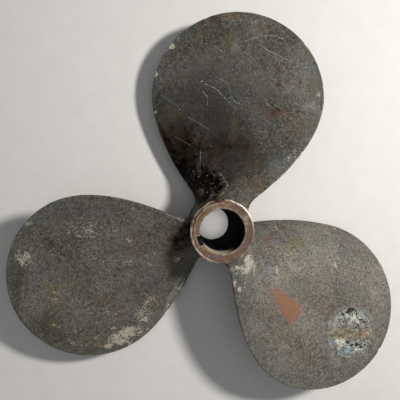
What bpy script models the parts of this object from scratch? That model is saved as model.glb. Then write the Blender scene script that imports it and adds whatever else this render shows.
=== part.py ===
"""Three-bladed left-hand boat propeller: one bronze casting, lying on the aft face of its hub.

Metres, +Z up. The shaft axis is Z, and +Z points to the forward end, where the tapered bore is wide.
The origin is on the shaft axis at the centre of mass. One blade points along +Y.
"""

import math

import bmesh
import bpy
from mathutils import Matrix, Vector

# Hub
HUB_LENGTH = 0.0715
HUB_AFT_REACH = 0.0380
HUB_FORE_RADIUS = 0.0254
HUB_AFT_RADIUS = 0.0220
HUB_EDGE_BREAK = 0.0012

# Tapered bore and its keyway
BORE_FORE_RADIUS = 0.01745
BORE_TAPER = 1 / 12
BORE_EDGE_BREAK = 0.0006
KEYWAY_WIDTH = 0.0079
KEYWAY_DEPTH = 0.0032
KEYWAY_TURN = math.radians(207)

# Blade outline, seen along the shaft: a round disc that narrows to a neck at the hub
BLADE_COUNT = 3
TIP_RADIUS = 0.1778
DISC_HALF_LENGTH = 0.0680
DISC_HALF_WIDTH = 0.0692
DISC_SKEW = 0.0065
NECK_RADIUS = 0.0324
LEADING_NECK_ANGLE = math.radians(41)
LEADING_NECK_FLARE = math.radians(50)
LEADING_DISC_START = math.radians(85)
LEADING_SHOULDER = 0.0348
TRAILING_NECK_ANGLE = math.radians(38)
TRAILING_NECK_FLARE = math.radians(42)
TRAILING_DISC_START = math.radians(112)
TRAILING_SHOULDER = 0.0254

# Blade twist, as the pitch of its screw surface, and the height of its middle line
PITCH_AT_AXIS = 0.2198
PITCH_AT_TIP = 0.1677
MIDDLE_LINE_AT_AXIS = 0.0034
MIDDLE_LINE_AT_HALF_RADIUS = -0.0039
MIDDLE_LINE_AT_TIP = -0.0037

# Blade thickness
NECK_THICKNESS = 0.0120
TIP_THICKNESS = 0.0026
EDGE_THICKNESS = 0.0018
ROOT_FILLET = 0.0130

# Heights of the hub's machined faces
FORE_FACE = HUB_LENGTH - HUB_AFT_REACH
AFT_FACE = -HUB_AFT_REACH

# How finely the round shapes are divided, and how deep a blade's root goes into the hub
HUB_SEGMENTS = 72
CHORD_SPANS = 14
ROOT_ROWS = 9
SHOULDER_ROWS = 9
DISC_ROWS = 12
TIP_ROW_ANGLE = math.radians(3)
STRAIGHTENING_ROWS = 10
ROOT_DEPTH = 0.85
TIP_SEARCH_ANGLE = math.radians(30)
TIP_SEARCH_STEPS = 120
SHARP_EDGE_ANGLE = math.radians(35)
MERGE_DISTANCE = 1e-6

BRONZE = (0.095, 0.080, 0.066, 1.0)
BRONZE_ROUGHNESS = 0.55
BRONZE_METALLIC = 0.6


def clear_scene():
    for thing in list(bpy.data.objects):
        bpy.data.objects.remove(thing)


def object_from(mesh_maker, name):
    """Makes an object from a bmesh, with its faces pointing outwards and smooth where it is round."""
    mesh = bpy.data.meshes.new(name)
    bmesh.ops.recalc_face_normals(mesh_maker, faces=mesh_maker.faces)
    mesh_maker.to_mesh(mesh)
    mesh_maker.free()
    mesh.shade_smooth()
    mesh.set_sharp_from_angle(angle=SHARP_EDGE_ANGLE)
    thing = bpy.data.objects.new(name, mesh)
    bpy.context.scene.collection.objects.link(thing)
    return thing


def bronze():
    material = bpy.data.materials.new("weathered_bronze")
    material.use_nodes = True
    shader = material.node_tree.nodes["Principled BSDF"]
    shader.inputs["Base Color"].default_value = BRONZE
    shader.inputs["Roughness"].default_value = BRONZE_ROUGHNESS
    shader.inputs["Metallic"].default_value = BRONZE_METALLIC
    return material


# Hub and bore
def hub_radius(height):
    """Outer radius of the hub, which tapers aft."""
    share = (height - AFT_FACE) / HUB_LENGTH
    return HUB_AFT_RADIUS + (HUB_FORE_RADIUS - HUB_AFT_RADIUS) * share


def bore_radius(height):
    """Radius of the bore, whose taper is stated as diameter over length."""
    return BORE_FORE_RADIUS - (FORE_FACE - height) * BORE_TAPER / 2


def turned(profile, name):
    """A solid turned about the shaft axis from (radius, height) points that start and end on it."""
    maker = bmesh.new()
    points = [maker.verts.new((radius, 0, height)) for radius, height in profile]
    edges = [maker.edges.new(pair) for pair in zip(points, points[1:])]
    bmesh.ops.spin(
        maker,
        geom=points + edges,
        cent=(0, 0, 0),
        axis=(0, 0, 1),
        angle=2 * math.pi,
        steps=HUB_SEGMENTS,
        use_merge=True,
    )
    bmesh.ops.remove_doubles(maker, verts=maker.verts, dist=MERGE_DISTANCE)
    return object_from(maker, name)


def hub():
    top, bottom, edge = FORE_FACE, AFT_FACE, HUB_EDGE_BREAK
    profile = [
        (0, top),
        (hub_radius(top) - edge, top),
        (hub_radius(top - edge), top - edge),
        (hub_radius(bottom + edge), bottom + edge),
        (hub_radius(bottom) - edge, bottom),
        (0, bottom),
    ]
    return turned(profile, "propeller_casting")


def bore_cutter():
    """The tapered bore with its broken edges, run on past both faces of the hub."""
    top, bottom, mouth = FORE_FACE, AFT_FACE, BORE_EDGE_BREAK
    past = 2 * mouth
    profile = [
        (0, top + past),
        (bore_radius(top) + mouth + past, top + past),
        (bore_radius(top - mouth), top - mouth),
        (bore_radius(bottom + mouth), bottom + mouth),
        (bore_radius(bottom) + mouth + past, bottom - past),
        (0, bottom - past),
    ]
    return turned(profile, "bore_cutter")


def keyway_cutter():
    """A bar along the wall of the bore, sloped with the taper, that cuts the keyway."""
    top, bottom = FORE_FACE + KEYWAY_WIDTH, AFT_FACE - KEYWAY_WIDTH
    floor_fore = bore_radius(top) + KEYWAY_DEPTH
    floor_aft = bore_radius(bottom) + KEYWAY_DEPTH
    inner = bore_radius(bottom) / 2
    half = KEYWAY_WIDTH / 2
    outline = [(inner, top), (floor_fore, top), (floor_aft, bottom), (inner, bottom)]
    maker = bmesh.new()
    sides = [[maker.verts.new((x, side, z)) for x, z in outline] for side in (-half, half)]
    for side in sides:
        maker.faces.new(side)
    for i in range(len(outline)):
        after = (i + 1) % len(outline)
        maker.faces.new((sides[0][i], sides[0][after], sides[1][after], sides[1][i]))
    bmesh.ops.rotate(maker, verts=maker.verts, matrix=Matrix.Rotation(KEYWAY_TURN, 3, "Z"))
    return object_from(maker, "keyway_cutter")


# Blade outline in the plane across the shaft: x out along the blade, y to its trailing side
def from_polar(radius, angle):
    return Vector((radius * math.cos(angle), radius * math.sin(angle)))


def disc_point(centre, angle):
    along = centre + DISC_HALF_LENGTH * math.cos(angle)
    return Vector((along, DISC_HALF_WIDTH * math.sin(angle) - DISC_SKEW))


def disc_tangent(angle):
    along = -DISC_HALF_LENGTH * math.sin(angle)
    return Vector((along, DISC_HALF_WIDTH * math.cos(angle))).normalized()


def disc_centre():
    """How far out the disc's middle lies, so that its outermost point is at the tip radius."""
    inner = TIP_RADIUS - DISC_HALF_LENGTH
    steps = range(-TIP_SEARCH_STEPS, TIP_SEARCH_STEPS + 1)
    turns = [TIP_SEARCH_ANGLE * step / TIP_SEARCH_STEPS for step in steps]
    reach = max(disc_point(inner, turn).length for turn in turns)
    return inner - (reach - TIP_RADIUS)


def bezier(a, b, c, d, t):
    return a * (1 - t) ** 3 + b * 3 * t * (1 - t) ** 2 + c * 3 * t * t * (1 - t) + d * t**3


def outline_side(neck_angle, flare, disc_start, shoulder):
    """Points of one edge of the blade, from inside the hub's wall out to the tip."""
    side = 1 if neck_angle > 0 else -1
    centre = disc_centre()
    neck = from_polar(NECK_RADIUS, neck_angle)
    outwards = from_polar(1, flare)
    inset = (NECK_RADIUS - HUB_AFT_RADIUS * ROOT_DEPTH) / math.cos(flare - neck_angle)
    points = [neck - outwards * inset * (1 - i / ROOT_ROWS) for i in range(ROOT_ROWS)]
    start = disc_point(centre, disc_start)
    arriving = start + disc_tangent(disc_start) * side * shoulder
    for i in range(SHOULDER_ROWS):
        points.append(bezier(neck, neck + outwards * shoulder, arriving, start, i / SHOULDER_ROWS))
    last = side * TIP_ROW_ANGLE
    for i in range(DISC_ROWS + 1):
        ease = math.sin(i / DISC_ROWS * math.pi / 2)
        points.append(disc_point(centre, disc_start + (last - disc_start) * ease))
    return points


# Blade surface
def pitch(radius):
    return PITCH_AT_AXIS + (PITCH_AT_TIP - PITCH_AT_AXIS) * radius / TIP_RADIUS


def middle_line(radius):
    """Height of the blade's middle line, a curve through its values at the axis, half way and the tip."""
    t = radius / TIP_RADIUS
    at_axis = MIDDLE_LINE_AT_AXIS * (1 - t) * (1 - 2 * t)
    at_half = MIDDLE_LINE_AT_HALF_RADIUS * 4 * t * (1 - t)
    at_tip = MIDDLE_LINE_AT_TIP * t * (2 * t - 1)
    return at_axis + at_half + at_tip


def rise(radius):
    """Fall of the left-hand screw surface for each radian turned."""
    return pitch(radius) / (2 * math.pi)


def screw_point(radius, turn, lift):
    """A point lifted squarely off the screw surface, on the cylinder of this radius.

    The hub's ends are faced off, so no fillet stands past them.
    """
    slope = math.atan2(rise(radius), radius)
    height = middle_line(radius) - rise(radius) * turn + lift * math.cos(slope)
    height = max(min(height, FORE_FACE - HUB_EDGE_BREAK), AFT_FACE + HUB_EDGE_BREAK)
    around = turn + lift * math.sin(slope) / radius
    return Vector((radius * math.cos(around), radius * math.sin(around), height))


def fillet_growth(radius, turn):
    """How far the root fillet widens the section at this place."""
    height = middle_line(radius) - rise(radius) * turn
    above_hub = min(max(radius - hub_radius(height), 0), ROOT_FILLET)
    drop = ROOT_FILLET - above_hub
    return ROOT_FILLET - math.sqrt(ROOT_FILLET**2 - drop**2)


def greatest_thickness(radius):
    share = (radius - NECK_RADIUS) / (TIP_RADIUS - NECK_RADIUS)
    return NECK_THICKNESS + (TIP_THICKNESS - NECK_THICKNESS) * max(share, 0)


def row_bases(leading, trailing, straight):
    """Radius, turn and share of the chord along one row, bent round the shaft near the hub."""
    bases = []
    for i in range(CHORD_SPANS + 1):
        share = (1 - math.cos(math.pi * i / CHORD_SPANS)) / 2
        flat = leading.lerp(trailing, share)
        radius = leading.length + (trailing.length - leading.length) * share
        lead_turn = math.atan2(leading.y, leading.x)
        trail_turn = math.atan2(trailing.y, trailing.x)
        bent = from_polar(radius, lead_turn + (trail_turn - lead_turn) * share)
        point = bent.lerp(flat, straight)
        bases.append((point.length, math.atan2(point.y, point.x), share))
    return bases


def section(leading, trailing, straight):
    """One closed section: the rounded back from leading to trailing edge, then the flat face back."""
    back, face = [], []
    for radius, turn, share in row_bases(leading, trailing, straight):
        growth = fillet_growth(radius, turn)
        slope = math.atan2(rise(radius), radius)
        turn += (2 * share - 1) * growth * math.cos(slope) / radius
        bulge = 4 * share * (1 - share)
        extra = (greatest_thickness(radius) - EDGE_THICKNESS) * bulge
        round_off = growth * math.sqrt(bulge)
        back.append(screw_point(radius, turn, EDGE_THICKNESS / 2 + extra + round_off))
        face.append(screw_point(radius, turn, -EDGE_THICKNESS / 2 - round_off))
    return back + face[::-1]


def blade(index):
    leading = outline_side(
        -LEADING_NECK_ANGLE, -LEADING_NECK_FLARE, -LEADING_DISC_START, LEADING_SHOULDER
    )
    trailing = outline_side(
        TRAILING_NECK_ANGLE, TRAILING_NECK_FLARE, TRAILING_DISC_START, TRAILING_SHOULDER
    )
    maker = bmesh.new()
    loops = []
    for row, (lead, trail) in enumerate(zip(leading, trailing)):
        straight = max(row - ROOT_ROWS, 0) / STRAIGHTENING_ROWS
        points = section(lead, trail, min(straight, 1))
        loops.append([maker.verts.new(point) for point in points])
    for inner, outer in zip(loops, loops[1:]):
        for i in range(len(inner)):
            after = (i + 1) % len(inner)
            maker.faces.new((inner[i], inner[after], outer[after], outer[i]))
    maker.faces.new(loops[0])
    maker.faces.new(loops[-1])
    turn = math.pi / 2 + index * 2 * math.pi / BLADE_COUNT
    bmesh.ops.rotate(maker, verts=maker.verts, matrix=Matrix.Rotation(turn, 3, "Z"))
    return object_from(maker, f"blade_{index + 1}_form")


def add_boolean(body, tool, operation):
    tool.hide_render = True
    tool.display_type = "WIRE"
    modifier = body.modifiers.new(f"{operation.lower()}_{tool.name}", "BOOLEAN")
    modifier.operation = operation
    modifier.object = tool


def propeller():
    casting = hub()
    casting.data.materials.append(bronze())
    for index in range(BLADE_COUNT):
        add_boolean(casting, blade(index), "UNION")
    add_boolean(casting, bore_cutter(), "DIFFERENCE")
    add_boolean(casting, keyway_cutter(), "DIFFERENCE")
    return casting


clear_scene()
propeller()
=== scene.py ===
"""Looks of a three-bladed left-hand boat propeller: one old bronze casting with patina and crusts.

Metres, +Z along the shaft towards the forward end of the hub. One blade points along +Y.
"""

import math

import bmesh
import bpy
import numpy as np
from mathutils import Euler, Matrix, Vector, noise
from mathutils.bvhtree import BVHTree


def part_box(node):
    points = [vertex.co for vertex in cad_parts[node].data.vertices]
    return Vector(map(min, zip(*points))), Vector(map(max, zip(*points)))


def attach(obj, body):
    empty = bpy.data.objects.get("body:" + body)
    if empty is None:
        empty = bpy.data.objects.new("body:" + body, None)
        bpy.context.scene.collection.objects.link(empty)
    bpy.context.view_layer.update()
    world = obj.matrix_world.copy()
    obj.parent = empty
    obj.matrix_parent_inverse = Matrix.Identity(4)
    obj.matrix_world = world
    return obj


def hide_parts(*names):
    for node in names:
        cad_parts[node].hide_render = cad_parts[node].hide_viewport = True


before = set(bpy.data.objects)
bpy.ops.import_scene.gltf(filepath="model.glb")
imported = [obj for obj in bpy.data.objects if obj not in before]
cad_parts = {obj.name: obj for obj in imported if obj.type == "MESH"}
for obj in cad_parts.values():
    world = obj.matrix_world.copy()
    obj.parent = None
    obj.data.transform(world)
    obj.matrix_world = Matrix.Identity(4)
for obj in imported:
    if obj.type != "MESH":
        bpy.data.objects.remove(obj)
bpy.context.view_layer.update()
CASTING_LOW, CASTING_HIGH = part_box("propeller_casting")

# Hub, bore and keyway
AFT_FACE = CASTING_LOW.z
FORE_FACE = CASTING_HIGH.z
HUB_FORE_RADIUS = 0.0254
HUB_AFT_RADIUS = 0.0220
HUB_EDGE_BREAK = 0.0012
BORE_FORE_RADIUS = 0.01745
BORE_TAPER = 1 / 12
BORE_EDGE_BREAK = 0.0006
KEYWAY_WIDTH = 0.0079
KEYWAY_DEPTH = 0.0032
KEYWAY_TURN = math.radians(207)

# Blade outline, seen along the shaft: a round disc that narrows to a neck at the hub
BLADE_COUNT = 3
TIP_RADIUS = 0.1778
DISC_HALF_LENGTH = 0.0680
DISC_HALF_WIDTH = 0.0692
DISC_SKEW = 0.0065
DISC_CENTRE = 0.10937
NECK_RADIUS = 0.0324
ROOT_RADIUS = 0.0187
LEADING_EDGE = {
    "neck_angle": math.radians(-41),
    "flare": math.radians(-50),
    "disc_start": math.radians(-85),
    "shoulder": 0.0348,
}
TRAILING_EDGE = {
    "neck_angle": math.radians(38),
    "flare": math.radians(42),
    "disc_start": math.radians(112),
    "shoulder": 0.0254,
}

# Blade twist, height of its middle line, and thickness
PITCH_AT_AXIS = 0.2198
PITCH_AT_TIP = 0.1677
MIDDLE_LINE_AT_AXIS = 0.0034
MIDDLE_LINE_AT_HALF_RADIUS = -0.0039
MIDDLE_LINE_AT_TIP = -0.0037
NECK_THICKNESS = 0.0120
TIP_THICKNESS = 0.0026
EDGE_THICKNESS = 0.0018
TIP_FADE = 0.006
ROOT_FILLET = 0.0130

# How finely the casting is divided
HUB_SEGMENTS = 240
AROUND_BLADE = 172
BLADE_ROWS = 136
NECK_SHARE = 0.16
SHOULDER_SHARE = 0.40
MERGE_DISTANCE = 2e-6
FAR_FROM_EDGE = 1.0


class Value:
    """A number that varies over a surface, carried by a socket, with the operators that formulas use."""

    def __init__(self, nodes, socket):
        self.nodes = nodes
        self.socket = socket

    def __add__(self, other):
        return self.nodes.math("ADD", self, other)

    def __sub__(self, other):
        return self.nodes.math("SUBTRACT", self, other)

    def __rsub__(self, other):
        return self.nodes.math("SUBTRACT", other, self)

    def __mul__(self, other):
        return self.nodes.math("MULTIPLY", self, other)

    def __truediv__(self, other):
        return self.nodes.math("DIVIDE", self, other)

    def __pow__(self, other):
        return self.nodes.math("POWER", self, other)

    def __neg__(self):
        return self.nodes.math("MULTIPLY", self, -1)

    def __abs__(self):
        return self.nodes.math("ABSOLUTE", self)

    __radd__ = __add__
    __rmul__ = __mul__

    def output(self, name):
        """Another output of the node that this value comes from."""
        return Value(self.nodes, find_socket(self.socket.node.outputs, name))


def find_socket(sockets, name):
    """A socket by its place, its identifier or its name."""
    if isinstance(name, int):
        return sockets[name]
    return next(socket for socket in sockets if name in (socket.identifier, socket.name))


def set_stops(ramp, stops):
    while len(ramp.elements) < len(stops):
        ramp.elements.new(1)
    for element, (place, colour) in zip(ramp.elements, stops):
        element.position = place
        element.color = colour


class Nodes:
    """One node tree, of a material or of Geometry Nodes, and the ways to add to it."""

    def __init__(self, tree):
        self.tree = tree
        self.chosen = {}

    def add(self, kind, settings, values, output=0):
        """Adds a node, sets it up, feeds its sockets with values or links, and returns one of its outputs."""
        node = self.tree.nodes.new(kind)
        for name, value in settings.items():
            if name == "stops":
                set_stops(node.color_ramp, value)
            else:
                setattr(node, name, value)
        for name, value in values.items():
            self.feed(find_socket(node.inputs, name), value)
        return Value(self, find_socket(node.outputs, output)) if node.outputs else node

    def feed(self, socket, value):
        if isinstance(value, list):
            for part in value:
                self.tree.links.new(part.socket, socket)
        elif isinstance(value, Value):
            self.tree.links.new(value.socket, socket)
        else:
            socket.default_value = value

    def math(self, operation, *values):
        return self.add("ShaderNodeMath", {"operation": operation}, dict(enumerate(values)))

    def least(self, a, b):
        return self.math("MINIMUM", a, b)

    def most(self, first, *others):
        for other in others:
            first = self.math("MAXIMUM", first, other)
        return first

    def root(self, value):
        return self.math("SQRT", value)

    def cosine(self, value):
        return self.math("COSINE", value)

    def sine(self, value):
        return self.math("SINE", value)

    def turn_of(self, x, y):
        """The angle of a direction from the X axis."""
        return self.math("ARCTAN2", y, x)

    def stretch(self, value, start, end, kind="LINEAR"):
        """The value from start to end as 0 to 1, held at both ends."""
        settings = {"clamp": True, "interpolation_type": kind}
        return self.add("ShaderNodeMapRange", settings, {"Value": value, "From Min": start, "From Max": end})

    def held(self, value):
        return self.stretch(value, 0, 1)

    def smooth(self, value, start, end):
        """The value from start to end as a soft step from 0 to 1."""
        return self.stretch(value, start, end, "SMOOTHSTEP")

    def fade(self, value, start, end):
        """The value from start to end as a soft step from 1 down to 0."""
        return 1 - self.smooth(value, start, end)

    def vector(self, x, y, z):
        return self.add("ShaderNodeCombineXYZ", {}, {"X": x, "Y": y, "Z": z})

    def split(self, vector):
        separate = self.add("ShaderNodeSeparateXYZ", {}, {"Vector": vector})
        return separate, separate.output("Y"), separate.output("Z")

    def across(self, a, operation, b, output=0):
        """A Vector Math node on two vectors."""
        return self.add("ShaderNodeVectorMath", {"operation": operation}, {0: a, 1: b}, output=output)

    def length(self, vector):
        return self.add("ShaderNodeVectorMath", {"operation": "LENGTH"}, {0: vector}, output="Value")

    def noise(self, place, size, detail, roughness, seed):
        """Noise with lumps of about this size, around 0.5."""
        values = {"Vector": place, "W": seed * 3.7, "Scale": 1 / size}
        values.update({"Detail": detail, "Roughness": roughness})
        return self.add("ShaderNodeTexNoise", {"noise_dimensions": "4D"}, values)

    def carried(self, name, output="Fac"):
        """A value or a colour that the mesh carries at its points."""
        return self.add("ShaderNodeAttribute", {"attribute_name": name}, {}, output=output)

    def ramp(self, value, stops):
        return self.add("ShaderNodeValToRGB", {"stops": stops}, {0: value})

    def tinted(self, under, over, share):
        """One colour laid over another, by a share from 0 to 1."""
        settings = {"data_type": "RGBA"}
        values = {"Factor_Float": share, "A_Color": under, "B_Color": over}
        return self.add("ShaderNodeMix", settings, values, output="Result_Color")

    def named(self, name, kind, value):
        """A named input of a Geometry Nodes tree, and the value that this object gives it."""
        socket = self.tree.interface.new_socket(name, in_out="INPUT", socket_type=f"NodeSocket{kind}")
        self.chosen[socket.identifier] = value
        entry = self.tree.nodes.get("Group Input") or self.tree.nodes.new("NodeGroupInput")
        return Value(self, find_socket(entry.outputs, socket.identifier))


def geometry_tree(name):
    tree = bpy.data.node_groups.new(name, "GeometryNodeTree")
    tree.interface.new_socket("Geometry", in_out="OUTPUT", socket_type="NodeSocketGeometry")
    return Nodes(tree)


def grown(nodes, geometry, material, name):
    """Ends the tree, runs it, and keeps what it makes as a plain mesh object."""
    geometry = nodes.add("GeometryNodeRealizeInstances", {}, {"Geometry": geometry})
    worn = nodes.named("Material", "Material", material)
    geometry = nodes.add("GeometryNodeSetMaterial", {}, {"Geometry": geometry, "Material": worn})
    nodes.add("NodeGroupOutput", {}, {"Geometry": geometry})
    holder = object_of(bpy.data.meshes.new(f"{name}_holder"), f"{name}_holder")
    modifier = holder.modifiers.new(name, "NODES")
    modifier.node_group = nodes.tree
    for identifier, value in nodes.chosen.items():
        modifier[identifier] = value
    evaluated = holder.evaluated_get(bpy.context.evaluated_depsgraph_get())
    mesh = bpy.data.meshes.new_from_object(evaluated)
    mesh.name = name
    bpy.data.objects.remove(holder)
    return object_of(mesh, name)


def mesh_of(maker, name):
    """Ends the making of a mesh and keeps it."""
    mesh = bpy.data.meshes.new(name)
    maker.to_mesh(mesh)
    maker.free()
    return mesh


def object_of(data, name):
    """A new object in the scene with this mesh, light or camera."""
    thing = bpy.data.objects.new(name, data)
    bpy.context.scene.collection.objects.link(thing)
    return thing


def carry(mesh, name, values):
    """Stores a number or a vector at each point of the mesh."""
    values = np.asarray(values, dtype=np.float32)
    if values.ndim == 1:
        mesh.attributes.new(name, "FLOAT", "POINT").data.foreach_set("value", values)
    else:
        mesh.attributes.new(name, "FLOAT_VECTOR", "POINT").data.foreach_set("vector", values.ravel())


# Blade form
def polar(radius, angle):
    return Vector((radius * math.cos(angle), radius * math.sin(angle)))


def disc_point(angle):
    along = DISC_CENTRE + DISC_HALF_LENGTH * math.cos(angle)
    return Vector((along, DISC_HALF_WIDTH * math.sin(angle) - DISC_SKEW))


def disc_tangent(angle):
    return Vector((-DISC_HALF_LENGTH * math.sin(angle), DISC_HALF_WIDTH * math.cos(angle))).normalized()


def outline(nodes, row, neck_angle, flare, disc_start, shoulder):
    """One edge of the blade as x and y, from inside the hub's wall at row 0 to the tip at row 1."""
    side = math.copysign(1, neck_angle)
    neck = polar(NECK_RADIUS, neck_angle)
    outwards = polar(1, flare)
    inner = neck - outwards * (NECK_RADIUS - ROOT_RADIUS) / math.cos(flare - neck_angle)
    leaving = neck + outwards * shoulder
    start = disc_point(disc_start)
    arriving = start + disc_tangent(disc_start) * side * shoulder
    straight = nodes.stretch(row, 0, NECK_SHARE)
    bend = nodes.stretch(row, NECK_SHARE, SHOULDER_SHARE)
    angle = disc_start * (1 - nodes.stretch(row, SHOULDER_SHARE, 1))
    rest = 1 - bend
    weights = [3 * rest * rest * bend, 3 * rest * bend * bend, bend * bend * bend]
    disc = [DISC_HALF_LENGTH * nodes.cosine(angle), DISC_HALF_WIDTH * nodes.sine(angle)]
    disc_at_start = [start.x - DISC_CENTRE, start.y + DISC_SKEW]
    place = []
    for axis in range(2):
        along = inner[axis] + straight * (neck[axis] - inner[axis])
        for weight, point in zip(weights, (leaving, arriving, start)):
            along = along + weight * (point[axis] - neck[axis])
        place.append(along + disc[axis] - disc_at_start[axis])
    return place


def length_of(nodes, x, y):
    return nodes.root(x * x + y * y)


def mixed(a, b, share):
    return a + (b - a) * share


def blade_grid(nodes):
    """A grid to bend into a blade: each point's row, its share of the chord, and if it lies on the back."""
    around = nodes.named("Points around Blade", "Int", AROUND_BLADE + 1)
    rows = nodes.named("Rows along Blade", "Int", BLADE_ROWS)
    size = {"Size X": 1, "Size Y": 1, "Vertices X": around, "Vertices Y": rows}
    grid = nodes.add("GeometryNodeMeshGrid", {}, size)
    x, y, _ = nodes.split(nodes.add("GeometryNodeInputPosition", {}, {}))
    loop_angle = (0.5 - x) * math.tau
    row = y + 0.5
    past_root = nodes.math("GREATER_THAN", row, 0.001)
    share = 0.5 - nodes.cosine(loop_angle) * 0.5 * past_root
    on_back = nodes.math("GREATER_THAN", nodes.sine(loop_angle), 0)
    return grid, row, share, past_root, on_back


def on_chord(nodes, row, share):
    """Radius and turn of a point on the chord, which is bent round the shaft near the hub, and its length."""
    lead = outline(nodes, row, **LEADING_EDGE)
    trail = outline(nodes, row, **TRAILING_EDGE)
    chord = length_of(nodes, trail[0] - lead[0], trail[1] - lead[1])
    bent_radius = mixed(length_of(nodes, *lead), length_of(nodes, *trail), share)
    bent_turn = mixed(nodes.turn_of(*lead), nodes.turn_of(*trail), share)
    straight = nodes.stretch(row, NECK_SHARE, SHOULDER_SHARE)
    x = mixed(bent_radius * nodes.cosine(bent_turn), mixed(lead[0], trail[0], share), straight)
    y = mixed(bent_radius * nodes.sine(bent_turn), mixed(lead[1], trail[1], share), straight)
    return length_of(nodes, x, y), nodes.turn_of(x, y), chord


def root_growth(nodes, radius, height):
    """How much the root fillet widens the section where it meets the hub."""
    fillet = nodes.named("Root Fillet", "Float", ROOT_FILLET)
    taper = (HUB_FORE_RADIUS - HUB_AFT_RADIUS) / (FORE_FACE - AFT_FACE)
    hub_radius = HUB_AFT_RADIUS + (height - AFT_FACE) * taper
    drop = fillet - nodes.least(nodes.most(radius - hub_radius, 0), fillet)
    return fillet - nodes.root(fillet * fillet - drop * drop)


def section(nodes, row, share, out, tip, chord, past_root):
    """How far face and back lie from the middle surface, how round they are, and the gap to the edge."""
    neck_thickness = nodes.named("Neck Thickness", "Float", NECK_THICKNESS)
    tip_thickness = nodes.named("Tip Thickness", "Float", TIP_THICKNESS)
    edge_thickness = nodes.named("Edge Thickness", "Float", EDGE_THICKNESS)
    bulge = 4 * share * (1 - share)
    from_tip = DISC_HALF_LENGTH * (1 - nodes.cosine(math.pi * (1 - nodes.stretch(row, SHOULDER_SHARE, 1))))
    edge_gap = nodes.least(chord * nodes.least(share, 1 - share), from_tip)
    nose = edge_thickness / 2
    from_nose = 1 - nodes.least(edge_gap / nose, 1)
    face = nose * nodes.root(1 - from_nose * from_nose) * past_root
    outwards = nodes.most(out * tip - NECK_RADIUS, 0) / (tip - NECK_RADIUS)
    greatest_thickness = mixed(neck_thickness, tip_thickness, outwards)
    extra = (greatest_thickness - edge_thickness) * bulge * nodes.stretch(from_tip, 0, TIP_FADE)
    return face, face + extra, nodes.root(bulge), edge_gap


def blade(nodes):
    """One blade along +X as a closed skin: rows out from the hub, each a loop round back and face."""
    tip = nodes.named("Tip Radius", "Float", TIP_RADIUS)
    pitch_at_axis = nodes.named("Pitch at Axis", "Float", PITCH_AT_AXIS)
    pitch_at_tip = nodes.named("Pitch at Tip", "Float", PITCH_AT_TIP)
    grid, row, share, past_root, on_back = blade_grid(nodes)
    radius, turn, chord = on_chord(nodes, row, share)

    # Screw surface
    out = radius / tip
    rise = (pitch_at_axis + (pitch_at_tip - pitch_at_axis) * out) / math.tau
    slope = nodes.turn_of(radius, rise)
    middle = (
        MIDDLE_LINE_AT_AXIS * (1 - out) * (1 - 2 * out)
        + MIDDLE_LINE_AT_HALF_RADIUS * 4 * out * (1 - out)
        + MIDDLE_LINE_AT_TIP * out * (2 * out - 1)
    )
    height = middle - rise * turn

    # Thickness about that surface, with the root fillet
    growth = root_growth(nodes, radius, height) * past_root
    turn = turn + (2 * share - 1) * growth * nodes.cosine(slope) / radius
    face, back, roundness, edge_gap = section(nodes, row, share, out, tip, chord, past_root)
    round_off = growth * roundness
    lift = mixed(-face - round_off, back + round_off, on_back) * past_root
    height = height + lift * nodes.cosine(slope)
    height = nodes.most(nodes.least(height, FORE_FACE - HUB_EDGE_BREAK), AFT_FACE + HUB_EDGE_BREAK)
    turn = turn + lift * nodes.sine(slope) / radius

    place = nodes.vector(radius * nodes.cosine(turn), radius * nodes.sine(turn), height)
    kept = {"data_type": "FLOAT", "domain": "POINT"}
    stored = {"Geometry": grid, "Name": "edge_gap", "Value": edge_gap}
    stored = nodes.add("GeometryNodeStoreNamedAttribute", kept, stored)
    skin = nodes.add("GeometryNodeSetPosition", {}, {"Geometry": stored, "Position": place})
    return nodes.add("GeometryNodeMergeByDistance", {}, {"Geometry": skin, "Distance": MERGE_DISTANCE})


# Hub, bore and keyway forms
def turned(profile, name):
    """A closed form turned about the shaft from (radius, height) points that start and end on it."""
    maker = bmesh.new()
    points = [maker.verts.new((radius, 0, height)) for radius, height in profile]
    edges = [maker.edges.new(pair) for pair in zip(points, points[1:])]
    round_once = {"axis": (0, 0, 1), "angle": math.tau, "steps": HUB_SEGMENTS, "use_merge": True}
    bmesh.ops.spin(maker, geom=points + edges, cent=(0, 0, 0), **round_once)
    bmesh.ops.remove_doubles(maker, verts=maker.verts, dist=MERGE_DISTANCE)
    bmesh.ops.recalc_face_normals(maker, faces=maker.faces)
    return form_of(maker, name)


def form_of(maker, name):
    """A form for the casting, every point of it marked as far from a blade's edge."""
    mesh = mesh_of(maker, name)
    carry(mesh, "edge_gap", [FAR_FROM_EDGE] * len(mesh.vertices))
    return object_of(mesh, name)


def divided(a, b, step):
    """Points from a up to b, without b, about one step apart."""
    a, b = Vector(a), Vector(b)
    count = max(round((b - a).length / step), 1)
    return [tuple(a.lerp(b, i / count)) for i in range(count)]


def profile_through(corners, steps):
    points = []
    for a, b, step in zip(corners, corners[1:], steps):
        points += divided(a, b, step)
    return points + [corners[-1]]


def hub_radius_at(height):
    share = (height - AFT_FACE) / (FORE_FACE - AFT_FACE)
    return HUB_AFT_RADIUS + (HUB_FORE_RADIUS - HUB_AFT_RADIUS) * share


def bore_radius_at(height):
    return BORE_FORE_RADIUS - (FORE_FACE - height) * BORE_TAPER / 2


def hub_form():
    top, bottom, edge = FORE_FACE, AFT_FACE, HUB_EDGE_BREAK
    corners = [
        (0, top),
        (bore_radius_at(top), top),
        (hub_radius_at(top) - edge, top),
        (hub_radius_at(top - edge), top - edge),
        (hub_radius_at(bottom + edge), bottom + edge),
        (hub_radius_at(bottom) - edge, bottom),
        (0, bottom),
    ]
    return turned(profile_through(corners, [1, 0.0009, 0.0004, 0.0016, 0.0005, 1]), "hub_form")


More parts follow.
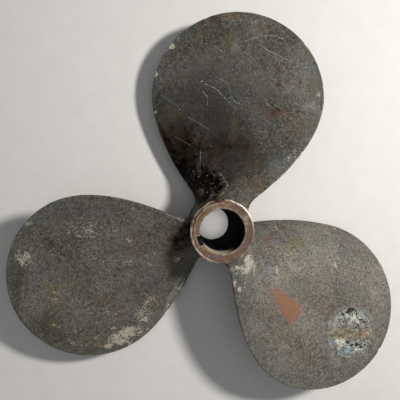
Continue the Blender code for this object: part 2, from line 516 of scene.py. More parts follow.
def bore_form():
    top, bottom, mouth = FORE_FACE, AFT_FACE, BORE_EDGE_BREAK
    corners = [
        (0, top + 2 * mouth),
        (bore_radius_at(top) + 3 * mouth, top + 2 * mouth),
        (bore_radius_at(top - mouth), top - mouth),
        (bore_radius_at(bottom + mouth), bottom + mouth),
        (bore_radius_at(bottom) + 3 * mouth, bottom - 2 * mouth),
        (0, bottom - 2 * mouth),
    ]
    return turned(profile_through(corners, [1, 1, 0.0025, 1, 1]), "bore_form")


def keyway_form():
    top, bottom = FORE_FACE + KEYWAY_WIDTH, AFT_FACE - KEYWAY_WIDTH
    inner = bore_radius_at(bottom) / 2
    half = KEYWAY_WIDTH / 2
    corners = [
        (inner, top),
        (bore_radius_at(top) + KEYWAY_DEPTH, top),
        (bore_radius_at(bottom) + KEYWAY_DEPTH, bottom),
        (inner, bottom),
    ]
    maker = bmesh.new()
    sides = [[maker.verts.new((x, side, z)) for x, z in corners] for side in (-half, half)]
    for side in sides:
        maker.faces.new(side)
    for i in range(len(corners)):
        after = (i + 1) % len(corners)
        maker.faces.new((sides[0][i], sides[0][after], sides[1][after], sides[1][i]))
    bmesh.ops.rotate(maker, verts=maker.verts, matrix=Matrix.Rotation(KEYWAY_TURN, 3, "Z"))
    bmesh.ops.recalc_face_normals(maker, faces=maker.faces)
    return form_of(maker, "keyway_form")


def casting(material):
    """The whole propeller: the hub joined to its ring of blades, then bored and slotted for the key."""
    nodes = geometry_tree("propeller_casting_rule")
    count = nodes.named("Blade Count", "Int", BLADE_COUNT)
    forms = [hub_form(), bore_form(), keyway_form()]
    solids = []
    for form in forms:
        chosen = nodes.named(form.name.replace("_", " ").title(), "Object", form)
        solids.append(nodes.add("GeometryNodeObjectInfo", {}, {"Object": chosen}, output="Geometry"))
    spots = nodes.add("GeometryNodeMeshLine", {}, {"Count": count, "Offset": (0, 0, 0)})
    index = nodes.add("GeometryNodeInputIndex", {}, {})
    spin = nodes.vector(0, 0, math.pi / 2 + index * (math.tau / BLADE_COUNT))
    turned_blades = {"Points": spots, "Instance": blade(nodes), "Rotation": spin}
    ring = nodes.add("GeometryNodeInstanceOnPoints", {}, turned_blades)
    union = {"operation": "UNION", "solver": "MANIFOLD"}
    joined = nodes.add("GeometryNodeMeshBoolean", union, {"Mesh 2": [solids[0], ring]})
    difference = {"operation": "DIFFERENCE", "solver": "MANIFOLD"}
    cut = nodes.add("GeometryNodeMeshBoolean", difference, {"Mesh 1": joined, "Mesh 2": solids[1:]})
    merged = nodes.add("GeometryNodeMergeByDistance", {}, {"Geometry": cut, "Distance": MERGE_DISTANCE})
    piece = grown(nodes, merged, material, "cast_propeller")
    for form in forms:
        bpy.data.objects.remove(form)
    return piece


# Wear of the casting's shape
HUB_RIM_CORNERS = [
    5, 31, 48, 58, 82, 100, 120, 146, 155, 166, 179, 193,
    204, 217, 229, 238, 250, 260, 270, 282, 296, 312, 330, 348,
]
RIM_WEAR_WIDTH = 0.0034
RIM_WEAR_DEPTH = 0.0042
RIM_STEP = {"start": 118, "end": 148, "width": 0.0026, "drop": 0.0004}
WAVE_DEPTH = 0.00020
WAVE_SIZE = 0.030
SKIN_DEPTH = 0.00008
SKIN_SIZE = 0.0042
NICK_DEPTH = 0.0006
NICK_SIZE = 0.0052
NICK_REACH = 0.0022
MACHINED_SKIN = 0.0001
CALM_BY_EDGE = 0.003
SHARP_ANGLE = math.radians(32)


def uneven(points, size, seed):
    """Smooth lumps of about this size, from 0 to 1, at each point."""
    shift = Vector((seed, 2 * seed, 3 * seed))
    lumps = [noise.noise(Vector(point) / size + shift) for point in points]
    return np.clip(np.array(lumps) * 0.5 + 0.5, 0, 1)


def soft_step(value, start, end):
    share = np.clip((value - start) / (end - start), 0, 1)
    return share * share * (3 - 2 * share)


def rim_cut(turn):
    """How much each straight facet of the worn rim takes off the round hub, for turns in degrees."""
    corners = np.array(HUB_RIM_CORNERS + [HUB_RIM_CORNERS[0] + 360])
    turn = (turn - corners[0]) % 360 + corners[0]
    after = np.clip(np.searchsorted(corners, turn, side="right"), 1, len(corners) - 1)
    half = np.radians(corners[after] - corners[after - 1]) / 2
    middle = (corners[after] + corners[after - 1]) / 2
    return HUB_FORE_RADIUS * (1 - np.cos(half) / np.cos(np.radians(turn - middle)))


def read_points(mesh):
    points = np.empty(len(mesh.vertices) * 3)
    mesh.vertices.foreach_get("co", points)
    return points.reshape(-1, 3)


def read_normals(mesh):
    normals = np.empty(len(mesh.vertices) * 3)
    mesh.vertex_normals.foreach_get("vector", normals)
    return normals.reshape(-1, 3)


def towards_blade_middle(points):
    """For each point, the flat direction to the middle of the blade that it lies on."""
    turn = np.arctan2(points[:, 1], points[:, 0]) - math.pi / 2
    blade_turn = np.round(turn / (math.tau / BLADE_COUNT)) * (math.tau / BLADE_COUNT) + math.pi / 2
    middle_x = DISC_CENTRE * np.cos(blade_turn) + DISC_SKEW * np.sin(blade_turn)
    middle_y = DISC_CENTRE * np.sin(blade_turn) - DISC_SKEW * np.cos(blade_turn)
    away = np.stack([middle_x - points[:, 0], middle_y - points[:, 1], np.zeros(len(points))], axis=1)
    return away / np.linalg.norm(away, axis=1)[:, None]


def wear(piece):
    """Sinks the cast skin a little, nicks the blade edges and wears the hub's rim to flats, all inwards."""
    mesh = piece.data
    points = read_points(mesh)
    normals = read_normals(mesh)
    gap = np.empty(len(points))
    mesh.attributes["edge_gap"].data.foreach_get("value", gap)
    radius = np.hypot(points[:, 0], points[:, 1])
    height = points[:, 2]
    machined = (height > FORE_FACE - MACHINED_SKIN) | (height < AFT_FACE + MACHINED_SKIN)
    cast = ~machined & (radius > BORE_FORE_RADIUS + KEYWAY_DEPTH / 2)

    depth = WAVE_DEPTH * uneven(points, WAVE_SIZE, 1.7) + SKIN_DEPTH * uneven(points, SKIN_SIZE, 5.1)
    depth = depth * cast * np.clip(gap / CALM_BY_EDGE, 0.1, 1)
    moved = points - normals * depth[:, None]

    bites = soft_step(uneven(points, NICK_SIZE, 9.3), 0.64, 0.90) + 0.25 * uneven(points, NICK_SIZE / 2, 3.9)
    bites = NICK_DEPTH * bites * np.exp(-((gap / NICK_REACH) ** 2)) * (radius > ROOT_FILLET + HUB_FORE_RADIUS)
    moved += towards_blade_middle(points) * bites[:, None]

    turn = np.degrees(np.arctan2(points[:, 1], points[:, 0]))
    near_rim = soft_step(radius, HUB_FORE_RADIUS - RIM_WEAR_WIDTH, HUB_FORE_RADIUS - HUB_EDGE_BREAK)
    near_rim = near_rim * soft_step(height, FORE_FACE - RIM_WEAR_DEPTH, FORE_FACE - HUB_EDGE_BREAK)
    near_rim = near_rim * (radius < HUB_FORE_RADIUS + MERGE_DISTANCE)
    cut = rim_cut(turn) * near_rim
    moved[:, :2] -= points[:, :2] / np.maximum(radius, BORE_FORE_RADIUS)[:, None] * cut[:, None]
    within = soft_step(turn, RIM_STEP["start"], RIM_STEP["start"] + 2)
    within = within * (1 - soft_step(turn, RIM_STEP["end"] - 2, RIM_STEP["end"]))
    outer = (radius > HUB_FORE_RADIUS - RIM_STEP["width"]) & (height > FORE_FACE - HUB_EDGE_BREAK)
    moved[:, 2] -= RIM_STEP["drop"] * within * outer

    mesh.vertices.foreach_set("co", moved.ravel())
    mesh.update()
    mesh.shade_smooth()
    mesh.set_sharp_from_angle(angle=SHARP_ANGLE)


# Colours, as linear light
DARK_PATINA = (0.040, 0.0344, 0.030, 1)
PATINA = (0.094, 0.0840, 0.071, 1)
PALE_PATINA = (0.190, 0.1781, 0.156, 1)
# Near black, for painted deep shade and for a dark cut
NEAR_BLACK = (0.004, 0.002, 0.0015, 1)
SMOKE_GREY = (0.056, 0.050, 0.046, 1)
COOL_GREY = (0.080, 0.083, 0.082, 1)
# Brown-black for painted shade
SHADE_BROWN = (0.009, 0.005, 0.003, 1)
GREEN_GREY = (0.085, 0.100, 0.078, 1)
BLUE_GREY = (0.105, 0.125, 0.150, 1)
RED_BROWN = (0.130, 0.070, 0.052, 1)
WARM_BROWN = (0.150, 0.100, 0.055, 1)
OCHRE = (0.235, 0.165, 0.065, 1)
OLIVE = (0.150, 0.125, 0.052, 1)
DARK_OLIVE = (0.056, 0.058, 0.038, 1)
MAUVE = (0.150, 0.118, 0.122, 1)
PALE_GREY = (0.260, 0.245, 0.220, 1)
BLUE_WHITE = (0.400, 0.440, 0.430, 1)
CREAM = (0.560, 0.500, 0.370, 1)
COPPER = (0.264, 0.119, 0.066, 1)
COPPER_PINK = (0.276, 0.123, 0.098, 1)
COPPER_TAN = (0.238, 0.138, 0.074, 1)
FLAKE_GREY = (0.130, 0.112, 0.108, 1)
FLAKE_RED = (0.085, 0.026, 0.019, 1)
# Red and green tints of the painted shade
SHADE_RED = (0.030, 0.010, 0.005, 1)
SHADE_GREEN = (0.010, 0.009, 0.004, 1)
LIT_BORE = (0.560, 0.460, 0.340, 1)
HUB_BROWN = (0.145, 0.090, 0.064, 1)
HUB_PURPLE = (0.120, 0.078, 0.068, 1)
HUB_GOLD = (0.130, 0.080, 0.040, 1)
DARK_GOLD = (0.052, 0.028, 0.011, 1)
# Bright bronze of the rim's wear and painted highlight
BRIGHT_BRONZE = (1.000, 0.860, 0.690, 1)
PINK_COPPER = (0.450, 0.240, 0.180, 1)
# Painted shade of the bore's wall
PAINTED_BORE_SHADE = (0.006, 0.005, 0.005, 1)
GUM_GREEN = (0.330, 0.400, 0.360, 1)
GUM_GREY = (0.215, 0.235, 0.225, 1)
GUM_TAN = (0.300, 0.240, 0.160, 1)
FILM_DARK = (0.060, 0.075, 0.078, 1)
BAND_BROWN = (0.150, 0.128, 0.084, 1)
BAND_MAUVE = (0.200, 0.180, 0.172, 1)
RUST_ORANGE = (0.340, 0.170, 0.080, 1)
SCRATCH_PALE = (0.560, 0.530, 0.470, 1)
PAPER_TONES = [(0.160, 0.140, 0.100, 1), (0.450, 0.430, 0.340, 1), (0.670, 0.680, 0.620, 1)]
INK_TONES = [(0.006, 0.006, 0.008, 1), (0.014, 0.013, 0.012, 1), (0.060, 0.055, 0.050, 1)]
BLUE_TONES = [(0.025, 0.040, 0.070, 1), (0.130, 0.190, 0.250, 1), (0.480, 0.580, 0.640, 1)]
LIME_TONES = [(0.200, 0.170, 0.120, 1), (0.400, 0.360, 0.290, 1), (0.620, 0.580, 0.500, 1)]

# Stains on the forward side: colour, middle x and y, half length and half width in mm, turn in degrees,
# strength, and how soft the edge is, where it isn't the usual softness
USUAL_SOFTNESS = 0.95
# Some of these stains are painted shade, shadow or highlight, as marked
STAINS = [
    # top blade
    (COOL_GREY, -4, 118, 76, 56, 0, 0.55),
    # The next three stains are painted shade: the top blade's lower part by the root, turned from the light
    (SMOKE_GREY, -32, 62, 44, 28, -61, 0.75),
    (DARK_PATINA, -38, 64, 40, 18, -61, 0.75),
    (DARK_PATINA, -8, 40, 22, 20, 0, 0.60),
    (RED_BROWN, -26, 72, 9, 5, -40, 0.35, 0.90),
    (RED_BROWN, -6, 49, 6, 4, 10, 0.85, 0.90),
    (RED_BROWN, 4, 51, 5, 4, 10, 0.85, 0.90),
    (RED_BROWN, -30, 71, 6, 9, 10, 0.40, 0.90),
    (OLIVE, -50, 80, 5, 7, 10, 0.35, 0.90),
    # The next three are painted shade as well, the last along the top blade's left edge, which faces away
    # from the light
    (SMOKE_GREY, -6, 80, 28, 22, -30, 0.85),
    (SMOKE_GREY, 8, 58, 26, 18, 0, 0.75),
    (SMOKE_GREY, -50, 84, 9, 14, 20, 0.45),
    (SMOKE_GREY, -24, 110, 12, 7, 20, 0.35),
    (SMOKE_GREY, 38, 150, 20, 8, -30, 0.30),
    (WARM_BROWN, 40, 97, 22, 12, -14, 0.42),
    (DARK_PATINA, 37, 99, 12, 6, -20, 0.75),
    (RED_BROWN, 38, 98, 9, 5, -30, 0.55),
    (OCHRE, 52, 92, 6, 6, 0, 0.28),
    (OLIVE, 5.5, 81, 3.4, 15, 0, 0.50, 0.90),
    (PALE_GREY, 2.2, 148, 7, 8, 20, 0.45, 0.90),
    (PALE_GREY, -20, 134, 34, 17, 8, 0.12),
    (PALE_GREY, 20, 122, 30, 14, 0, 0.10),
    (OCHRE, -1, 172, 9, 3.5, 0, 0.40, 0.85),
    (OLIVE, 59, 150, 4, 13, 38, 0.30, 0.85),
    (PALE_GREY, 52, 132, 22, 34, 20, 0.16),
    (BLUE_GREY, 63, 138, 5, 10, 28, 0.50),
    (BLUE_WHITE, 71, 114.5, 2.6, 5, 0, 0.40),
    (PALE_GREY, 66, 104, 9, 5, 5, 0.40),
    (GREEN_GREY, 64, 88, 6, 18, -14, 0.50, 0.90),
    (BLUE_GREY, -60, 116, 3, 20, -6, 0.30, 0.85),
    (GREEN_GREY, -47, 147, 10, 5, 40, 0.70, 0.80),
    (WARM_BROWN, 22, 38, 14, 10, 0, 0.40),
    (BLUE_GREY, 40, 58, 22, 9, 52, 0.35),
    (OLIVE, -45, 90, 14, 10, 0, 0.28),
    (RED_BROWN, -38, 76, 10, 8, 0, 0.30),
    # left blade
    (BLUE_GREY, -105, 3, 38, 7, 8, 0.25),
    (DARK_OLIVE, -156, -50, 12, 36, 8, 0.60),
    (DARK_OLIVE, -127, -96, 34, 13, -30, 0.50),
    (DARK_OLIVE, -85, -112, 34, 8, 4, 0.35),
    (BLUE_GREY, -128, 0, 28, 15, 25, 0.28),
    (GREEN_GREY, -148, -12, 9, 20, -20, 0.45),
    (RED_BROWN, -119, 1.5, 10, 8, 0, 0.30),
    (RED_BROWN, -136, -10, 11, 7, 0, 0.25),
    (OLIVE, -132, -3, 9, 5, 0, 0.35),
    (MAUVE, -95, 13.5, 9, 4, 0, 0.40),
    (MAUVE, -64, -16, 26, 17, 0, 0.32),
    (HUB_PURPLE, -64, -16, 24, 15, 0, 0.30),
    (MAUVE, -73, -76, 22, 19, 0, 0.42),
    (OLIVE, -125, -72, 16, 12, 0, 0.35),
    (OLIVE, -127, -91, 7, 6, 0, 0.55),
    (OCHRE, -132, -60, 9, 5, -14, 0.35, 0.90),
    (OLIVE, -118, -54, 26, 13, 0, 0.30),
    (OLIVE, -89, -68, 4.5, 12, 8, 0.60, 0.85),
    (GREEN_GREY, -108, -88, 26, 12, -20, 0.40),
    (OLIVE, -95, -106, 20, 6, -10, 0.45, 0.90),
    (BLUE_GREY, -49, -46, 9, 15, 10, 0.35, 0.90),
    (OLIVE, -46, -68, 11, 17, -35, 0.35, 0.90),
    (DARK_PATINA, -155, -67, 4, 12, 10, 0.50, 0.90),
    (PALE_GREY, -33, -28, 6, 4, 20, 0.30, 0.85),
    # The next stain is painted highlight: the left blade's lower edge where it catches the light
    (PALE_GREY, -31, -62, 2.4, 24, -20, 0.70, 0.80),
    # The next three stains and the red-brown one at -41, -22 are painted shadow: the hub's shadow on the left
    # blade's root
    (SMOKE_GREY, -31, -10, 16, 24, -20, 0.50),
    (DARK_PATINA, -27, -8, 11, 20, -20, 0.85, 0.90),
    (RED_BROWN, -34, -14, 16, 20, -10, 0.30),
    (PALE_GREY, -78, -50, 30, 16, -20, 0.12),
    (RED_BROWN, -41, -22, 9, 18, -20, 0.25),
    # right blade
    (RED_BROWN, 44, -7, 9, 5, 0, 0.75, 0.85),
    (BLUE_GREY, 54, -9, 6, 5, 0, 0.60, 0.90),
    (SMOKE_GREY, 50, -2, 5, 3, 0, 0.55, 0.85),
    (OLIVE, 71.9, -8, 9, 6, -8, 0.60, 0.90),
    (MAUVE, 116, -4, 16, 9, -24, 0.35),
    (MAUVE, 109, -39, 22, 8, -14, 0.30),
    (BLUE_WHITE, 45, -32, 4.5, 4, 0, 0.35, 0.90),
    (OCHRE, 64, -14, 11, 8, -8, 0.26),
    (WARM_BROWN, 89, -2, 7, 4, -10, 0.50, 0.90),
    (BLUE_GREY, 45, -30, 7, 9, 25, 0.60),
    (BLUE_WHITE, 11, -30, 3, 4, 10, 0.45, 0.90),
    (SMOKE_GREY, 30, -30, 16, 20, 0, 0.12),
    (GUM_TAN, 28, -22, 8, 10, 20, 0.25),
    (OLIVE, 62, -34, 12, 9, 0, 0.30),
    (WARM_BROWN, 80, -40, 16, 9, -20, 0.25),
    (PALE_GREY, 34, -38, 7, 9, 10, 0.25),
    (GREEN_GREY, 28, -58, 4, 14, 0, 0.55, 0.85),
    (WARM_BROWN, 42, -42, 7, 2.6, -42, 0.60, 0.90),
    (OCHRE, 59, -81, 15, 10, 0, 0.20),
    (WARM_BROWN, 43, -62, 12, 10, 0, 0.35),
    (RED_BROWN, 100, -60, 28, 9, -24, 0.22),
    (OLIVE, 70, -95, 34, 14, -24, 0.25),
    (PALE_GREY, 141, -47, 3.5, 6, 10, 0.45, 0.90),
    (BLUE_GREY, 110, -14, 22, 6, -24, 0.20),
    (GREEN_GREY, 135, -60, 12, 30, 20, 0.25),
]

# Painted light and shade on whole blades and parts of them, paler or darker for how the light falls on each:
# as above without a colour, the strength being the change of tone
BLADE_LIGHT_AND_SHADE = [
    (104, -56, 100, 104, -27, 0.245, 0.25),
    (-98, -56, 100, 96, 30, 0.18, 0.25),
    (-4, 76, 84, 62, 0, -0.12, 0.60),
    (98, -50, 44, 34, -27, -0.08),
    (-60, -84, 50, 24, 25, 0.06),
]

# Painted shade, also without a colour: the top blade's lower part by the root and its left edge, turned from
# the light, and the hub's shadow on the left blade, with a few smaller dark places
PAINTED_SHADE_PLACES = [
    (-12, 92, 34, 27, -20, 0.26),
    (2, 64, 38, 26, 0, 0.52),
    (-32, 60, 38, 25, -61, 0.66),
    (-51.6, 76, 1.9, 20, 27.5, 0.85, 0.80),
    (-19, 66, 14, 12, 0, 0.70),
    (26, 58, 28, 20, 30, 0.20),
    (35, 95, 9, 5, -20, 0.40),
    (-22, 122, 16, 12, 0, 0.16),
    (-31, -9, 17, 25, -20, 0.46),
    (-24, -2, 9, 18, -20, 0.80),
]

# Painted deep shade, near black, also without a colour: the top blade's root side turned from the light, the
# hub's shadow by its left side on the left blade, and a thin dark line below the hub
PAINTED_DEEP_SHADE = [
    (-40, 58, 26, 8, -61, 0.50),
    (-24, 44, 15, 17, 0, 0.85),
    (-32, 45, 22, 13, -55, 0.95),
    (-14, 36, 21, 17, 0, 1.0, 0.90),
    (-19, 23, 17, 14, 0, 1.0, 0.90),
    (-26, 66, 22, 12, -50, 0.42),
    (-22, 0, 6, 20, -20, 0.85),
    (-33, -12, 9, 16, -20, 0.50),
    (-2, -27, 16, 3, 0, 0.60, 0.90),
]

# Lime and salt crusts, also without a colour: they are pale, rough and stand a little proud; two are painted
# highlight instead, as marked
CRUSTS = [
    (-49, 145.5, 4.5, 3, 40, 1.0, 0.60),
    (-45, 151, 4, 1.6, 40, 0.6, 0.80),
    (-61, 122, 1.4, 3, 0, 0.9, 0.60),
    (-58.5, 91, 2, 1.6, 0, 0.7, 0.70),
    (-153, -37, 10, 9, 0, 0.75),
    (-158, -36, 3.5, 6, 0, 0.65, 0.90),
    (-150.5, -8, 4, 2.6, 20, 0.55, 0.90),
    (-64, -95, 10, 5.5, -28, 1.0, 0.85),
    (-76, -100, 8, 6, 20, 0.85, 0.90),
    (-81, -109, 7, 4.6, 20, 0.90, 0.85),
    (-55, -96.5, 5, 4, 0, 0.85, 0.85),
    (-52.5, -84, 7, 6, -35, 0.75, 0.90),
    (-87, -78.5, 6, 3, -10, 0.42),
    (-68, -100, 28, 16, 22, 0.84),
    (-55, -80, 24, 11, 55, 0.56),
    (-100, -60, 50, 36, 20, 0.22),
    (-108, -108, 18, 6, -12, 0.36),
    # The next two are painted highlight: pale lines along the left blade's lower edge where it catches the
    # light
    (-25, -57, 1.6, 14, -23, 0.85, 0.80),
    (-34, -74, 1.6, 12, -32, 0.80, 0.80),
    (23, -20.5, 1.8, 9, -32, 0.90, 0.80),
    (25.5, -27.5, 1.8, 4, -10, 0.90, 0.75),
    (16, -29, 4.2, 2.6, -40, 1.0, 0.75),
    (23.5, -31.5, 4.6, 2.2, 0, 1.0, 0.75),
    (20, -25, 3, 6, -20, 0.60, 0.90),
    (29, -25, 1.6, 1.6, 0, 0.80, 0.80),
    (26, -27, 14, 13, 0, 0.66),
    (19.2, -45.7, 2.4, 1.3, -10, 1.0, 0.50),
    (14.5, -40.6, 1.5, 1.3, 0, 1.0, 0.50),
    (23.8, -43, 1.4, 1.1, 0, 0.85, 0.55),
    (28, -75, 1.6, 5, 0, 0.60, 0.90),
    (47.5, -54.6, 5.5, 1.1, -34, 0.80, 0.80),
    (52, -30, 1.2, 5.5, 0, 0.80, 0.80),
    (62, -24, 18, 14, 0, 0.34),
    (105, -26, 5, 6, 20, 0.50),
    (-31, -28, 6.5, 4, 10, 1.0, 0.80),
    (-105, -9, 13, 8, 12, 0.44),
    (-70, -15, 6, 3, 0, 0.55),
    (-71, -33, 5, 3, 0, 0.50),
    (-52.5, -34.5, 4, 3, 0, 0.55, 0.90),
    (-125, -70, 7, 4, -20, 0.50),
    (-86, -42, 10, 3, -30, 0.42),
    (50, 62, 3.4, 16, -40, 0.50),
    (63, 78, 3, 8, -38, 0.50),
    (-56, 110, 4, 16, 0, 0.36),
]

# Single specks of the same crust: x, y and radius in mm
SPECKS = [
    (-99.8, -31.9, 1.5), (-130.3, -31.4, 1.1), (-100, -10.8, 1.3), (-110, -0.1, 1.2), (-110.6, -14.3, 1.6),
    (-107, -9, 1.0), (-100.7, -14.9, 1.6), (-82.6, -7.2, 1.2), (-69.8, 11, 1.3), (-71.7, -14.9, 1.2),
    (-73.7, -36.3, 1.3), (-50.2, -24.2, 1.2), (-134, -58.2, 1.4), (-128.9, -62.1, 1.6), (-126.6, -91.1, 1.4),
    (-122.5, -93.1, 1.2), (-88.1, -79.1, 1.4), (-84.6, -77.9, 1.2), (-108.8, -96, 1.2), (-113.8, -87.8, 1.0),
    (-151, -8.3, 2.0), (-55.9, -81.8, 1.8), (-60.7, -74.8, 1.6), (-52.3, -86.6, 1.5), (-78.7, -51.4, 1.1),
    (-70.1, -44.3, 1.0), (-115, -62.8, 1.0), (-30.3, -28.4, 2.8),
    (101.2, -20.9, 1.5), (105.8, -25.2, 1.7), (102.9, -29.4, 1.6), (109, -29, 1.0), (114.7, -31.8, 1.3),
    (130.3, -39.9, 1.5), (125.2, -14.2, 1.1), (88, -26.7, 1.1), (53.3, 2.4, 1.9), (88.4, 4, 1.5),
    (105.9, 4.8, 1.4), (51.8, -32, 1.4), (51.4, -35.2, 1.2), (75.5, -17.9, 1.1), (60.3, -13.2, 1.0),
    (52.8, -21.5, 1.5), (48.5, -55, 1.2), (45.7, -53.8, 1.1), (52.2, -56.7, 1.1), (142.8, -47.7, 1.5),
    (141.6, -31.8, 1.3), (98.5, -4.1, 1.1), (84.4, -9, 1.0), (72.9, -35.5, 1.1), (138, -63, 1.3),
    (-12.1, 49.7, 0.8), (-7.9, 43.3, 1.1), (-2.9, 42.4, 1.0), (0.3, 39.4, 1.1), (-22.9, 39.7, 1.0),
    (-23.4, 118.9, 0.9), (-20.2, 109.3, 0.9), (-7.2, 109.6, 0.8), (15.4, 159.2, 0.9), (22.7, 154.7, 0.9),
    (6.6, 135.6, 0.9), (2.3, 143.5, 1.0), (-9.3, 30.6, 1.0), (-15.1, 28.8, 1.2), (-58.5, 91.3, 1.4),
    (-38.5, 94, 0.8), (71, 114, 1.5),
]

# Stains on the hub's forward end, as the blades' stains
HUB_STAINS = [
    (HUB_GOLD, -18, 13, 17, 15, 0, 0.85, 0.90),
    (HUB_PURPLE, 19, -6, 14, 22, 0, 0.75, 0.90),
    (SMOKE_GREY, 14, 17, 9, 6, -40, 0.45),
    (BLUE_GREY, -3, -20, 5.5, 2.2, 0, 0.60, 0.90),
    (PALE_GREY, 16.5, 11, 2.6, 3.2, 0, 0.75, 0.90),
    (PINK_COPPER, -3.6, 22.6, 5.0, 2.2, 0, 0.90, 0.80),
]

# Where the hub's rim is bright: worn, and painted highlight on the upper right and lower left where it
# catches the light; without a colour
RIM_HIGHLIGHT_AND_WEAR = [
    (16, 18, 22, 15, -45, 1.0, 0.70),
    (-17, -19, 22, 13, -42, 1.0, 0.70),
    (-25, -4, 4, 9, 0, 1.0, 0.80),
]

# Where copper shows through on one blade, as the corners in mm
COPPER_PATCH = [(44, -43.5), (56, -46), (68, -52.5), (77, -60), (76, -67), (66, -75.5), (59.5, -68)]

# Scratches, as the corners in mm, then the half width in mm and the strength
SCRATCHES = [
    ([(-18.6, 115.9), (-14.8, 114.5), (-10.3, 112.6), (-5.7, 107.9), (-2.3, 105.1), (0.5, 102.6)], 0.30, 0.9),
    ([(1.6, 101.3), (5, 98.8), (8.8, 96.6)], 0.22, 0.5),
    ([(-20.4, 109.2), (-17.8, 106.9), (-16.8, 100.4)], 0.24, 0.7),
    ([(-53.4, 104.3), (-45.6, 100.1), (-41.3, 97.9)], 0.22, 0.6),
    ([(-29, 87.4), (-22.3, 84.2), (-15.6, 80.5)], 0.22, 0.65),
    ([(-39.1, 71.2), (-27.8, 65.7)], 0.20, 0.5),
    ([(7.8, 153.2), (13.2, 155.2), (16.8, 157.2), (19.9, 157.3)], 0.20, 0.55),
    ([(24.2, 158.9), (27.3, 159.7), (32.3, 159.6), (36.2, 158.4), (40.1, 157.4)], 0.24, 0.7),
    ([(24.3, 149.4), (28.9, 146.6), (34.7, 144.8), (39.2, 142.9), (43.7, 141.1)], 0.28, 0.85),
    ([(-13.1, 146.3), (-8.1, 143.3)], 0.22, 0.65),
    ([(11, 143.2), (15, 140.3), (17.7, 138.3)], 0.20, 0.55),
    ([(-18.9, 60.1), (-18.5, 54)], 0.34, 0.85),
    ([(-18.3, 50), (-17.8, 42.5)], 0.26, 0.55),
    ([(-12.1, 49.7), (-7.9, 43.3), (-7.1, 40)], 0.20, 0.5),
    ([(-39.8, 96), (-38.5, 94), (-36.7, 97.5)], 0.20, 0.55),
    ([(-52.2, -63.2), (-53.2, -76)], 0.20, 0.5),
    ([(-50.3, -38.8), (-44.6, -34)], 0.24, 0.6),
    ([(-2.3, 43.6), (0.5, 40.2), (3.1, 36.2), (1.5, 31.6), (-1.6, 27.1)], 0.30, 0.9),
    ([(-1.6, 27.1), (-7, 26.9)], 0.20, 0.5),
    ([(41.6, 77.3), (42.4, 71.7)], 0.20, 0.5),
    ([(60, 104), (72, 105)], 0.24, 0.22),
    ([(-55.4, -60.2), (-48.3, -64.9), (-43.6, -69.7)], 0.26, 0.75),
    ([(-66, -84), (-60, -87.5)], 0.20, 0.4),
    ([(88, 4), (93, 3)], 0.24, 0.4),
    ([(107, -19), (118, -24)], 0.22, 0.4),
    ([(36.5, -22), (40, -30)], 0.24, 0.5),
    ([(84, -44), (96, -50)], 0.20, 0.35),
    ([(70, -30), (79, -27)], 0.20, 0.35),
    ([(-128, -20), (-117, -26)], 0.20, 0.35),
    ([(-100, -46), (-92, -55)], 0.20, 0.35),
    ([(32.4, 103.9), (38.6, 99.6)], 0.55, -1.0),
]

# Fine scratches that lie close beside those, in the same order
FINE_SCRATCHES = [
    ([(-10, 121.9), (-5.6, 120.2), (-2.3, 118.3), (-1.1, 116.2)], 0.22, 0.6),
    ([(-1.1, 116.2), (0, 112.4), (1.4, 108.1), (2.9, 104.9)], 0.22, 0.6),
    ([(2.9, 104.9), (5.7, 102.9)], 0.24, 0.6),
    ([(8.6, 106.2), (12, 101.5)], 0.18, 0.4),
    ([(26.2, 157.2), (30.1, 156.2), (36.6, 153.6)], 0.20, 0.35),
    ([(27.5, 144.8), (33, 141.9)], 0.18, 0.3),
]

# A stain fainter than this has no colour, and a scratch ends this far away in mm
FAINTEST_STAIN = 0.004
SCRATCH_REACH = (1.9, 2.3)

# The hub's middle height and half its length in mm, for the finish
HUB_MIDDLE_MM = (FORE_FACE + AFT_FACE) * 500
HALF_HUB_MM = (FORE_FACE - AFT_FACE) * 500

# Label remains, on the right-hand blade, with an orange stain placed from their middle
LABEL_MIDDLE = (122.6, -79.5)
LABEL_RADIUS = 21.5
LABEL_ORANGE = (14, -1.6, 0)


# Marks that the mesh carries at its points
def ellipse_share(points, ragged, x, y, half_x, half_y, turn, strength, softness=USUAL_SOFTNESS):
    """Share of one ragged soft-edged stain at each point, in mm."""
    turn = math.radians(turn)
    offset = points[:, :2] - (x, y)
    along = (offset[:, 0] * math.cos(turn) + offset[:, 1] * math.sin(turn)) / half_x
    across = (offset[:, 1] * math.cos(turn) - offset[:, 0] * math.sin(turn)) / half_y
    inside = 1 - np.hypot(along, across) + ragged * softness
    return soft_step(inside, 0, softness) * strength


def laid_over(points, ragged, stains):
    """One colour and one share for all these stains, laid over each other in order."""
    colour = np.zeros((len(points), 3))
    total = np.zeros(len(points))
    for over, *patch in stains:
        share = ellipse_share(points, ragged, *patch)
        colour = colour * (1 - share)[:, None] + share[:, None] * over[:3]
        total = total * (1 - share) + share
    seen = total > FAINTEST_STAIN
    colour[seen] /= total[seen][:, None]
    colour[~seen] = PATINA[:3]
    return colour, total


def greatest(points, ragged, patches):
    shares = [ellipse_share(points, ragged, *patch) for patch in patches]
    return np.max(shares, axis=0)


def segment_gap(points, start, end):
    """Signed distance from the line through a segment, and distance from the segment itself."""
    run = Vector(end) - Vector(start)
    way = run.normalized()
    offset = points[:, :2] - start
    along = offset[:, 0] * way.x + offset[:, 1] * way.y
    side = offset[:, 1] * way.x - offset[:, 0] * way.y
    beyond = along - np.clip(along, 0, run.length)
    return side, np.hypot(side, beyond)


